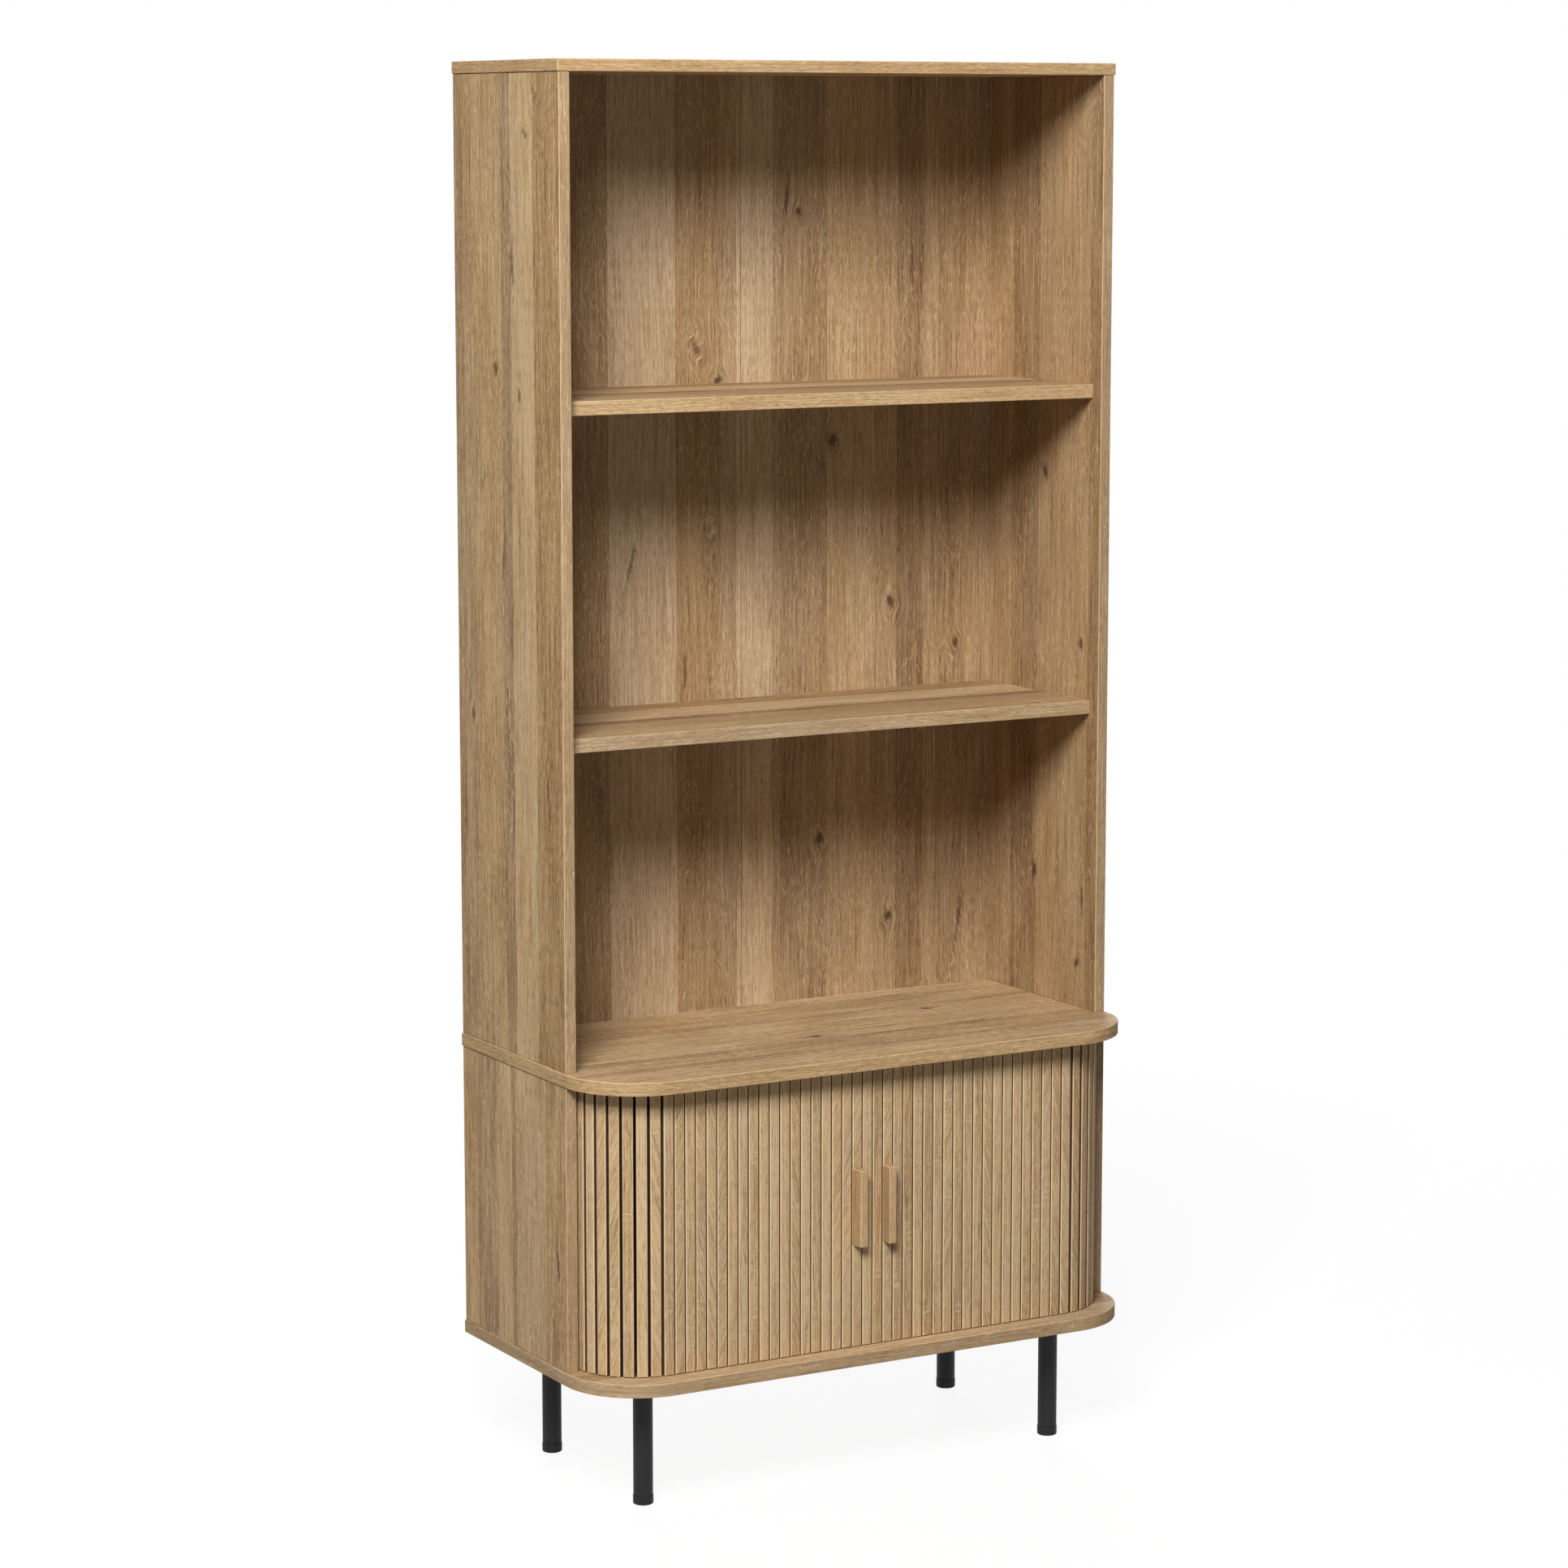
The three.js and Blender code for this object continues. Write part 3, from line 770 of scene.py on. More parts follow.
@dataclass(frozen=True)
class Canvas(Finish):
    """Woven cloth that the slats are glued to."""

    RELIEF = 0.6
    THREADS = 4200.0
    SWING = 0.3
    TONES = ((0.0, tint(38, 31, 26)), (1.0, tint(82, 68, 56)))
    ROUGHNESS = 0.95

    def wire(self, wiring: Wiring, shader: Node) -> None:
        """Draws threads both ways on the piece's own map.

        Args:
            wiring: The material's wiring.
            shader: Its Principled BSDF.
        """
        weft, warp = (wiring.sum("SINE", wiring.times(way, self.THREADS)) for way in wiring.grain_map())
        height = wiring.times(weft, warp)
        shade = wiring.sum("MULTIPLY_ADD", height, self.SWING, 0.5)
        wiring.feed(shader.inputs["Base Color"], wiring.ramp(shade, self.TONES))
        wiring.feed(shader.inputs["Normal"], wiring.bump(height, self.RELIEF, FINE_HEIGHT))
        shader.inputs["Roughness"].default_value = self.ROUGHNESS


WIDE_PLANK_START = -1.0
WIDE_PLANK = 2000


def one_plank(name: str, tone: Tone, warmth: float, contrast: float, ease: float = 0.0) -> Oak:
    """Oak of one plank that is wider than any piece, for edge bands and small pieces."""
    return Oak(name, WIDE_PLANK_START, (Plank(WIDE_PLANK, tone, warmth),), (), contrast, ease)


BACK_PLANKS = (
    Plank(136, Tone.BROWN, -0.2), Plank(52, Tone.BROWN), Plank(97, Tone.PALE, -0.5),
    Plank(66, Tone.BROWN, 0.5), Plank(24, Tone.TAN, -0.2), Plank(54, Tone.PALE, -0.3),
    Plank(12, Tone.TAN, -0.3), Plank(72, Tone.BROWN, -0.2), Plank(70, Tone.GOLD, 0.5),
    Plank(37, Tone.TAN, 0.2), Plank(42, Tone.UMBER, -0.4), Plank(20, Tone.TAN, 0.1),
    Plank(42, Tone.BROWN, -0.2), Plank(40, Tone.TAN),
)
BACK_KNOTS = (
    Knot(-0.067, 1.432, 0.0055, 1.9, -0.4, 0.6), Knot(-0.034, 1.389, 0.0060, 0.9, 0.5),
    Knot(0.069, 1.623, 0.0028, 9, 0.1, 0.7), Knot(0.087, 1.605, 0.0045, 1.5, -0.3, 0.7),
    Knot(0.139, 1.306, 0.0060, 1.5, 0.3), Knot(0.228, 1.088, 0.0060, 1.5, -0.2),
    Knot(0.331, 1.026, 0.0045, 1.8, 0.2, 0.7), Knot(-0.163, 1.155, 0.0030, 10, 0.25, 0.55),
    Knot(-0.084, 1.011, 0.0024, 11, 0.0, 0.6), Knot(0.119, 0.774, 0.0060, 1.5, 0.2),
    Knot(0.226, 0.660, 0.0060, 1.4, 0.3), Knot(0.339, 0.651, 0.0028, 11, 0.15, 0.6),
    Knot(-0.046, 1.174, 0.0060, 5.0, 0.0, 0.25),
)
LEFT_PLANKS = (
    Plank(71, Tone.BROWN, 0.9), Plank(63, Tone.PALE), Plank(27, Tone.BROWN, -0.8),
    Plank(80, Tone.GOLD, 0.5), Plank(28, Tone.TAN, -0.3), Plank(30, Tone.BROWN, -0.5),
)
LEFT_KNOTS = (
    Knot(-0.005, 1.706, 0.0060, 0.9, 0.6, 0.6), Knot(-0.028, 1.758, 0.0055, 1.2, 0.3, 0.4),
    Knot(0.033, 1.546, 0.0035, 8, 0.1, 0.6), Knot(0.081, 1.418, 0.0055, 1.5, 0.3, 0.7),
    Knot(0.016, 1.386, 0.0030, 4, 0.0, 0.6), Knot(0.063, 1.184, 0.0032, 9, -0.1, 0.6),
    Knot(0.155, 0.978, 0.0050, 1.7, 0.2, 0.7), Knot(0.051, 0.928, 0.0075, 5, 0.0, 0.3),
    Knot(-0.057, 0.894, 0.0030, 9, 0.1, 0.6),
)
LEFT_LOW_PLANKS = (
    Plank(57, Tone.BROWN, 0.3), Plank(84, Tone.GOLD, -0.3), Plank(11, Tone.UMBER, -0.2),
    Plank(40, Tone.GOLD, 0.2), Plank(47, Tone.BROWN, -0.6), Plank(12, Tone.UMBER),
    Plank(43, Tone.TAN, 0.3),
)
LEFT_LOW_KNOTS = (Knot(-0.073, 0.310, 0.003, 7, 0.1),)
RIGHT_PLANKS = (
    Plank(26, Tone.BROWN), Plank(120, Tone.GOLD, 0.3), Plank(65, Tone.BROWN, -0.2),
    Plank(83, Tone.GOLD, 0.2),
)
RIGHT_KNOTS = (
    Knot(0.054, 0.730, 0.0060, 1.6, 0.2), Knot(-0.052, 0.617, 0.0050, 1.6, -0.2),
    Knot(-0.063, 0.706, 0.0028, 8, 0.0, 0.6), Knot(-0.055, 1.044, 0.0045, 1.8),
    Knot(0.033, 1.263, 0.0045, 1.8, 0.3),
)
MID_PLANKS = (
    Plank(61, Tone.GOLD, 0.2), Plank(18, Tone.BROWN), Plank(38, Tone.TAN, 0.4), Plank(15, Tone.BROWN),
    Plank(121, Tone.GOLD, 0.3), Plank(18, Tone.BROWN, -0.2), Plank(60, Tone.TAN, 0.3),
    Plank(63, Tone.GOLD),
)
MID_KNOTS = (Knot(-0.050, -0.014, 0.0050, 1.8), Knot(0.037, 0.205, 0.0045, 1.8))
PLAIN_PLANKS = (
    Plank(70, Tone.GOLD, 0.3), Plank(38, Tone.BROWN, -0.3), Plank(95, Tone.TAN),
    Plank(52, Tone.PALE, -0.4), Plank(31, Tone.BROWN, 0.2), Plank(88, Tone.GOLD, 0.4),
    Plank(46, Tone.TAN, -0.2), Plank(24, Tone.UMBER), Plank(76, Tone.PALE, -0.3),
    Plank(60, Tone.BROWN, 0.3), Plank(110, Tone.TAN, -0.1), Plank(110, Tone.GOLD, 0.2),
)
PLAIN_KNOTS = (
    Knot(-0.020, 1.240), Knot(0.088, 0.860, 0.003), Knot(-0.062, 0.310, 0.003),
    Knot(0.031, 1.602, 0.002, 9, 0.1),
)

OAK_BACK = Oak("oak back wall", -0.383, BACK_PLANKS, BACK_KNOTS, 1.0, 0.08, -0.55)
OAK_LEFT = Oak("oak left outside", -0.097, LEFT_PLANKS, LEFT_KNOTS, 1.5, 0.11, 0.40)
# The lower panel's oak is lifted more than the upper panel's to make up for the light falling off lower
# down: painted light.
OAK_LEFT_LOW = Oak("oak left outside low", -0.097, LEFT_LOW_PLANKS, LEFT_LOW_KNOTS, 1.5, 0.24, 0.4)
OAK_RIGHT = Oak("oak right inside", -0.097, RIGHT_PLANKS, RIGHT_KNOTS, 1.0, -0.04, -0.25)
OAK_MID = Oak("oak middle board top", -0.197, MID_PLANKS, MID_KNOTS, 1.5, 0.15, -0.05)
OAK_PLAIN = Oak("oak boards", -0.4, PLAIN_PLANKS, PLAIN_KNOTS, 1.0, 0.0, -0.2)
OAK_BAND = one_plank("oak edge band", Tone.GOLD, -0.8, 0.8, -0.02)
# The shelves and boards each have their own copy of the edge band oak, lifted or lowered as a whole to
# match how bright that band looked: part of the difference between the copies is painted light and
# painted shade.
OAK_UPPER_SHELF_BAND = one_plank("oak upper shelf band", Tone.GOLD, -0.7, 0.8, -0.16)
OAK_LOWER_SHELF_BAND = one_plank("oak lower shelf band", Tone.GOLD, -0.8, 0.8, 0.10)
OAK_MID_BAND_SHADED = one_plank("oak middle board band shaded", Tone.GOLD, -0.6, 0.8, -0.22)
OAK_LOW_BAND_LIT = one_plank("oak bottom board band lit", Tone.GOLD, -0.6, 0.8, 0.06)
OAK_TOP_BAND_SHADED = one_plank("oak top board band shaded", Tone.BROWN, -1.0, 0.9, -0.29)
# Pale oak on the rounded front edges of the boards: a painted highlight.
OAK_ARRIS_HIGHLIGHT = one_plank("oak edge band corner highlight", Tone.PALE, 0.0, 0.4, 0.12)
GRIP_OAK = one_plank("oak grips", Tone.TAN, 0.6, 0.25, 0.07)
# The grips' front faces take a lighter, warmer copy of the grip oak: painted light.
GRIP_FRONT_LIT = one_plank("oak grip fronts lit", Tone.TAN, 0.9, 0.25, 0.34)
# Pale oak on the grips' rounded edges: a painted highlight.
GRIP_ARRIS_HIGHLIGHT = one_plank("oak grip corner highlights", Tone.PALE, 0.3, 0.1, 0.22)
COVER_OAK = one_plank("oak fitting covers", Tone.TAN, 0.0, 0.4)
SLAT_OAK = SlatOak("oak slats")
SLAT_FLANK = Speckled("slat flanks", tint(86, 60, 39), 900, 0.5, 0.85, 0.00008)
CANVAS = Canvas("tambour canvas")
BLACK_STEEL = Speckled("black powder coat", tint(26, 25, 25), 1400, 0.35, 0.55, 0.00006)
BLACK_NYLON = Speckled("black nylon", tint(22, 22, 23), 700, 0.2, 0.6, 0.00003)
SCREW_STEEL = Speckled("blackened screw steel", tint(58, 56, 55), 600, 0.2, 0.35, 0.00002, True)
STRIP_PLASTIC = Speckled("brown plastic strip", tint(66, 50, 37), 700, 0.2, 0.5, 0.00003)
FIBRE_BOARD = Speckled("fibre board back", tint(138, 106, 74), 420, 0.7, 0.85, 0.0001)


class Facing(Enum):
    """The way a board's face looks."""

    LEFT = (-1, 0, 0)
    RIGHT = (1, 0, 0)
    FRONT = (0, -1, 0)
    REAR = (0, 1, 0)
    TOP = (0, 0, 1)
    UNDER = (0, 0, -1)

    def holds(self, normal: Vector) -> bool:
        """Whether a normal looks this way."""
        return normal.dot(Vector(self.value)) > STRAIGHT


class Grain(Enum):
    """The way a board's grain runs, as the index of an axis."""

    LENGTHWISE = 0
    UPRIGHT = 2


def block(low: Iterable[float], high: Iterable[float]) -> Shape:
    """Makes a plain block.

    Args:
        low: Its lowest corner.
        high: Its highest corner.

    Returns:
        The block, ready to be shaped.
    """
    mesh = bmesh.new()
    bmesh.ops.create_cube(mesh, size=1.0)
    low, high = Vector(low), Vector(high)
    bmesh.ops.scale(mesh, vec=high - low, verts=mesh.verts)
    bmesh.ops.translate(mesh, vec=(low + high) / 2, verts=mesh.verts)
    return mesh


def drum(radius: float, low: float, high: float, steps: int, upper_radius: float | None = None) -> Shape:
    """Makes a round bar on the Z axis.

    Args:
        radius: Its radius at the bottom.
        low: Its bottom.
        high: Its top.
        steps: Faces round it.
        upper_radius: Its radius at the top, if that differs.

    Returns:
        The bar, ready to be shaped.
    """
    mesh = bmesh.new()
    bmesh.ops.create_cone(
        mesh, cap_ends=True, segments=steps, radius1=radius, depth=high - low,
        radius2=radius if upper_radius is None else upper_radius)
    bmesh.ops.translate(mesh, vec=(0, 0, (low + high) / 2), verts=mesh.verts)
    return mesh


def soften(mesh: Shape, radius: float, steps: int, wanted: EdgeTest | None = None) -> None:
    """Rounds edges over.

    Args:
        mesh: The shape to work on.
        radius: The rounding's radius.
        steps: Faces across the rounding.
        wanted: Picks the edges; all of them if it isn't given.
    """
    edges = [edge for edge in mesh.edges if wanted is None or wanted(edge)]
    bmesh.ops.bevel(
        mesh, geom=edges, offset=radius, offset_type="OFFSET", segments=steps, profile=0.5,
        affect="EDGES", material=-1, clamp_overlap=True)


def is_upright(edge: bmesh.types.BMEdge) -> bool:
    """Whether an edge stands upright."""
    first, second = (vert.co for vert in edge.verts)
    return (first - second).to_2d().length < NOTHING


def is_rim(edge: bmesh.types.BMEdge) -> bool:
    """Whether an edge lies between a flat end and the side round it."""
    return not is_upright(edge)


def rearmost(edge: bmesh.types.BMEdge) -> float:
    """How far to the rear an edge reaches."""
    return max(vert.co.y for vert in edge.verts)


def merged(target: Shape, source: Shape, place: Matrix | None = None) -> None:
    """Adds one shape to another and frees it.

    Args:
        target: The shape that grows.
        source: The shape that goes into it.
        place: Where the source goes.
    """
    sheet = bpy.data.meshes.new("passing")
    source.to_mesh(sheet)
    source.free()
    if place is not None:
        sheet.transform(place)
    target.from_mesh(sheet)
    bpy.data.meshes.remove(sheet)


def box_middle(node: str) -> Matrix:
    """The matrix that takes a shape on the Z axis to the middle of a CAD node, seen from above."""
    low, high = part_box(node)
    return Matrix.Translation(((low.x + high.x) / 2, (low.y + high.y) / 2, 0))


def grain_layer(mesh: Shape) -> bmesh.types.BMLayerItem:
    """The shape's layer for the grain's map."""
    return mesh.loops.layers.uv.get("grain") or mesh.loops.layers.uv.new("grain")


def map_grain(mesh: Shape, grain: Grain, shift: float = 0.0) -> None:
    """Lays the grain's map on every face, by the way the face looks.

    Args:
        mesh: The shape to map.
        grain: Which way the grain runs.
        shift: How far along the pattern starts, in metres.
    """
    layer = grain_layer(mesh)
    for face in mesh.faces:
        out = max(range(3), key=lambda axis: abs(face.normal[axis]))
        along = grain.value if out != grain.value else (grain.value + 1) % 3
        across = 3 - out - along
        for loop in face.loops:
            loop[layer].uv = (loop.vert.co[across], loop.vert.co[along] + shift)


@dataclass
class Dress:
    """Which finish goes on which faces of a board.

    Attributes:
        plain: The finish of every face that isn't named.
        faces: Finishes by the way the face looks.
        slanted: The finish of the rounded edges beside a front edge; by default a pale oak that paints a
            highlight there.
    """

    # A face with a smaller forward share in its normal isn't beside the front.
    SLANT = 0.2

    plain: Finish = OAK_PLAIN
    faces: dict[Facing, Finish] = field(default_factory=dict)
    slanted: Finish = OAK_ARRIS_HIGHLIGHT

    def finishes(self) -> list[Finish]:
        """Every finish it uses, each once."""
        return list(dict.fromkeys([self.plain, self.slanted, *self.faces.values()]))

    def index_of(self, normal: Vector) -> int:
        """The number of the finish that a face gets.

        Args:
            normal: The face's normal.

        Returns:
            Its place in the list of finishes.
        """
        order = self.finishes()
        for facing, finish in self.faces.items():
            if facing.holds(normal):
                return order.index(finish)
        front_corner = self.SLANT < -normal.y < STRAIGHT
        return order.index(self.slanted if front_corner else self.plain)


def finished(mesh: Shape, name: str, body: str, finishes: Iterable[Finish],
             nodes: Iterable[str] = ()) -> None:
    """Turns a shape into a piece that rides on its body.

    Args:
        mesh: The shape, in place.
        name: The piece's name.
        body: The CAD body it rides on.
        finishes: The finishes, in the order of the faces' numbers.
        nodes: The CAD nodes it stands for.
    """
    for edge in mesh.edges:
        edge.smooth = len(edge.link_faces) == 2 and edge.calc_face_angle(0.0) < SHARPEST_SMOOTH
    for face in mesh.faces:
        face.smooth = True
    data = bpy.data.meshes.new(name)
    mesh.to_mesh(data)
    mesh.free()
    piece = bpy.data.objects.new(name, data)
    bpy.context.scene.collection.objects.link(piece)
    for finish in finishes:
        data.materials.append(finish.material())
    even = piece.modifiers.new("even shading", "WEIGHTED_NORMAL")
    even.keep_sharp = True
    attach(piece, body)
    if nodes:
        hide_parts(*nodes)
    LOG.info("made %s on %s with %d faces", name, body, len(data.polygons))


def cut_away(mesh: Shape, tool: Shape) -> Shape:
    """Cuts one shape out of another.

    Args:
        mesh: The shape to cut; it is used up.
        tool: What is cut away; it is used up.

    Returns:
        What is left.
    """
    objects = []
    for shape in (mesh, tool):
        data = bpy.data.meshes.new("cutting")
        shape.to_mesh(data)
        shape.free()
        made = bpy.data.objects.new("cutting", data)
        bpy.context.scene.collection.objects.link(made)
        objects.append(made)
    work, cutter = objects
    step = work.modifiers.new("cut", "BOOLEAN")
    step.operation = "DIFFERENCE"
    step.solver = "EXACT"
    step.object = cutter
    evaluated = work.evaluated_get(bpy.context.evaluated_depsgraph_get())
    left = bmesh.new()
    left.from_mesh(evaluated.to_mesh())
    evaluated.to_mesh_clear()
    for made in objects:
        data = made.data
        bpy.data.objects.remove(made)
        bpy.data.meshes.remove(data)
    return left


@dataclass
class Track:
    """The line of the doors' cloth: across the front, a quarter round each corner, then back.

    Attributes:
        pitch: Distance from slat to slat.
        quarter_slats: Slats on one quarter.
        slat_thickness: How thick the slats are.
        face_setback: How far the slats' faces lie behind the boards' front.
        side_gap: Room between the slats and the end panels.
    """

    pitch: float = 0.015
    quarter_slats: int = 8
    slat_thickness: float = 0.013
    face_setback: float = 0.028
    side_gap: float = 0.0035

    @property
    def quarter(self) -> float:
        """Length of one quarter."""
        return self.quarter_slats * self.pitch

    @property
    def radius(self) -> float:
        """Radius of the cloth round a corner."""
        return self.quarter * 2 / math.pi

    @property
    def corner_x(self) -> float:
        """The right corner's centre."""
        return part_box("lower_side_right")[0].x - self.side_gap - self.slat_thickness - self.radius

    @property
    def corner_y(self) -> float:
        """Both corners' centre."""
        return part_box("bottom_board")[0].y + self.face_setback + self.slat_thickness + self.radius

    def place(self, distance: float, side: int) -> Matrix:
        """Where something at a distance along the track stands, and how it is turned.

        Args:
            distance: Distance from where the corner starts; the front run is negative.
            side: -1 for the left door and 1 for the right one.

        Returns:
            The matrix that takes it there from the origin.
        """
        turn = min(max(distance, 0.0), self.quarter) / self.radius
        x = self.corner_x + min(distance, 0.0) + self.radius * math.sin(turn)
        y = self.corner_y - self.radius * math.cos(turn) + max(distance - self.quarter, 0.0)
        return Matrix.Translation((side * x, y, 0)) @ Matrix.Rotation(side * turn, 4, "Z")


@dataclass
class Carcass:
    """Boards, end panels, shelves and backs.

    Attributes:
        arris: Radius of the boards' edges.
        back_arris: Radius of the thin backs' edges.
        strip_arris: Radius of the joining strip's edges.
        corner_steps: Faces round one front corner of a rounded board.
        groove_width: Width of the groove that guides the slats' tongues.
        groove_depth: Its depth.
        groove_offset: How far its middle lies outside the cloth.
        groove_margin: How far before the cabinet's back it ends.
        groove_spare: How far the cutting shape stands out of the board.
        rim_start: Where the grain's map starts on a rounded board's rim.
    """

    # A face with a smaller upward share in its normal belongs to the rim, and one with a larger
    # rearward share to the back.
    RIM_TILT = 0.1
    REAR_SHARE = 0.9

    arris: float = 0.0010
    back_arris: float = 0.0002
    strip_arris: float = 0.0004
    corner_steps: int = 40
    groove_width: float = 0.0082
    groove_depth: float = 0.0063
    groove_offset: float = 0.003
    groove_margin: float = 0.008
    groove_spare: float = 0.004
    rim_start: float = 0.7

    def board(self, node: str, name: str, grain: Grain, dress: Dress,
              radius: float | None = None, steps: int = 2) -> None:
        """Makes one straight board from its CAD node's box.

        Args:
            node: The CAD node it stands for.
            name: The piece's name.
            grain: Which way its grain runs.
            dress: Its finishes.
            radius: Radius of its edges, if it isn't the usual one.
            steps: Faces across an edge.
        """
        mesh = block(*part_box(node))
        soften(mesh, radius or self.arris, steps)
        map_grain(mesh, grain)
        for face in mesh.faces:
            face.material_index = dress.index_of(face.normal)
        finished(mesh, name, "carcass", dress.finishes(), [node])

    def groove(self, track: Track, low: float, high: float) -> Shape:
        """The channel that the tongues run in, from one side run round the front to the other.

        Args:
            track: The doors' track.
            low: The channel's bottom.
            high: Its top.

        Returns:
            The channel as a closed shape.
        """
        mesh = bmesh.new()
        radius = track.radius + self.groove_offset
        end_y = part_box("lower_back")[0].y - self.groove_margin
        start = Vector((-track.corner_x - radius, end_y, (low + high) / 2))
        bmesh.ops.create_grid(mesh, x_segments=1, y_segments=1, size=0.5)
        bmesh.ops.scale(mesh, vec=(self.groove_width, high - low, 1), verts=mesh.verts)
        bmesh.ops.rotate(mesh, matrix=Matrix.Rotation(math.pi / 2, 3, "X"), verts=mesh.verts)
        bmesh.ops.translate(mesh, vec=start, verts=mesh.verts)
        bmesh.ops.delete(mesh, geom=mesh.faces[:], context="FACES_ONLY")
        last = self.pulled(mesh, list(mesh.edges), (0, track.corner_y - end_y, 0))
        last = self.swung(mesh, last, (-track.corner_x, track.corner_y, 0))
        last = self.pulled(mesh, last, (2 * track.corner_x, 0, 0))
        last = self.swung(mesh, last, (track.corner_x, track.corner_y, 0))
        self.pulled(mesh, last, (0, end_y - track.corner_y, 0))
        bmesh.ops.holes_fill(mesh, edges=[edge for edge in mesh.edges if edge.is_boundary], sides=4)
        bmesh.ops.recalc_face_normals(mesh, faces=mesh.faces)
        return mesh

    def pulled(self, mesh: Shape, edges: Edges, way: Place) -> Edges:
        """Draws an outline out straight.

        Args:
            mesh: The shape.
            edges: The outline.
            way: How far and which way.

        Returns:
            The outline at the new end.
        """
        made = bmesh.ops.extrude_edge_only(mesh, edges=edges)["geom"]
        verts = [item for item in made if isinstance(item, bmesh.types.BMVert)]
        bmesh.ops.translate(mesh, vec=way, verts=verts)
        return [item for item in made if isinstance(item, bmesh.types.BMEdge)]

    def swung(self, mesh: Shape, edges: Edges, centre: Place) -> Edges:
        """Swings an outline a quarter turn round a corner.

        Args:
            mesh: The shape.
            edges: The outline.
            centre: The corner's centre.

        Returns:
            The outline at the new end.
        """
        verts = list({vert for edge in edges for vert in edge.verts})
        made = bmesh.ops.spin(
            mesh, geom=[*verts, *edges], cent=centre, axis=(0, 0, 1), angle=math.pi / 2,
            steps=self.corner_steps // 2, use_merge=False, use_duplicate=False)["geom_last"]
        return [item for item in made if isinstance(item, bmesh.types.BMEdge)]

    def rounded_board(self, node: str, name: str, top: Finish, band: Finish, channel: Shape) -> None:
        """Makes a board whose two front corners are rounded and that has the doors' groove.

        Args:
            node: The CAD node it stands for.
            name: The piece's name.
            top: The finish on its upper face.
            band: The finish on its rim.
            channel: The groove's shape.
        """
        low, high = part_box(node)
        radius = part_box("lower_side_left")[0].y - low.y
        mesh = block(low, high)
        soften(mesh, radius, self.corner_steps, lambda edge: is_upright(edge) and edge.verts[0].co.y < 0)
        soften(mesh, self.arris, 2, is_rim)
        mesh = cut_away(mesh, channel)
        map_grain(mesh, Grain.LENGTHWISE)
        self.map_rim(mesh, high.x - radius, low.y + radius, radius)
        dress = Dress(band, {Facing.TOP: top, Facing.UNDER: OAK_PLAIN})
        order = dress.finishes()
        for face in mesh.faces:
            tilt = abs(face.normal.z)
            if tilt < self.RIM_TILT:
                face.material_index = order.index(band)
            elif tilt < STRAIGHT:
                # The rounded edges of the rim take the pale oak of a painted highlight.
                face.material_index = order.index(OAK_ARRIS_HIGHLIGHT)
            else:
                face.material_index = dress.index_of(face.normal)
        finished(mesh, name, "carcass", order, [node])

    def map_rim(self, mesh: Shape, centre_x: float, centre_y: float, radius: float) -> None:
        """Lays the grain round a rounded board's rim by the distance round it.

        Args:
            mesh: The board.
            centre_x: The right corner's centre.
            centre_y: Both corners' centre.
            radius: The corners' radius.
        """
        layer = grain_layer(mesh)
        for face in mesh.faces:
            if abs(face.normal.z) > STRAIGHT or face.normal.y > self.REAR_SHARE:
                continue
            for loop in face.loops:
                x, y, z = loop.vert.co
                side = math.copysign(1, face.calc_center_median().x)
                turn = math.atan2(max(0.0, x * side - centre_x), max(NOTHING, centre_y - y))
                run = min(x * side, centre_x) + radius * turn + max(0.0, y - centre_y)
                loop[layer].uv = (z + self.rim_start, side * run)

    def backs(self) -> None:
        """Makes the upper back in two halves, the cabinet's back, and the strip behind the joint."""
        thin = Dress(FIBRE_BOARD, {Facing.FRONT: OAK_BACK}, FIBRE_BOARD)
        names = {"upper_back_left": "left", "upper_back_right": "right", "lower_back": "cabinet"}
        for node, name in names.items():
            self.board(node, "oak_back_" + name, Grain.UPRIGHT, thin, self.back_arris, 1)
        self.board(
            "upper_back_joining_strip", "plastic_back_joining_strip", Grain.UPRIGHT,
            Dress(STRIP_PLASTIC, {}, STRIP_PLASTIC), self.strip_arris)

    def build(self, track: Track) -> None:
        """Makes every board of the carcass.

        Args:
            track: The doors' track, for the grooves.
        """
        rim = dict.fromkeys((Facing.LEFT, Facing.RIGHT, Facing.FRONT, Facing.REAR), OAK_TOP_BAND_SHADED)
        self.board("top_board", "oak_top_board", Grain.LENGTHWISE, Dress(faces=rim))
        for node, band in (("shelf_lower", OAK_LOWER_SHELF_BAND), ("shelf_upper", OAK_UPPER_SHELF_BAND)):
            dress = Dress(faces={Facing.FRONT: band, Facing.REAR: band})
            self.board(node, "oak_" + node, Grain.LENGTHWISE, dress)
        banded = {Facing.FRONT: OAK_BAND, Facing.REAR: OAK_BAND}
        outsides = {
            "upper_side_left": {Facing.LEFT: OAK_LEFT}, "upper_side_right": {Facing.LEFT: OAK_RIGHT},
            "lower_side_left": {Facing.LEFT: OAK_LEFT_LOW}, "lower_side_right": {},
            "guide_panel_left": {}, "guide_panel_right": {},
        }
        for node, faces in outsides.items():
            self.board(node, "oak_" + node, Grain.UPRIGHT, Dress(faces={**banded, **faces}))
        roof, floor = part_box("mid_board")[0].z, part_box("bottom_board")[1].z
        upper_groove = self.groove(track, roof - self.groove_spare, roof + self.groove_depth)
        self.rounded_board("mid_board", "oak_mid_board", OAK_MID, OAK_MID_BAND_SHADED, upper_groove)
        lower_groove = self.groove(track, floor - self.groove_depth, floor + self.groove_spare)
        self.rounded_board("bottom_board", "oak_bottom_board", OAK_PLAIN, OAK_LOW_BAND_LIT, lower_groove)
        self.backs()


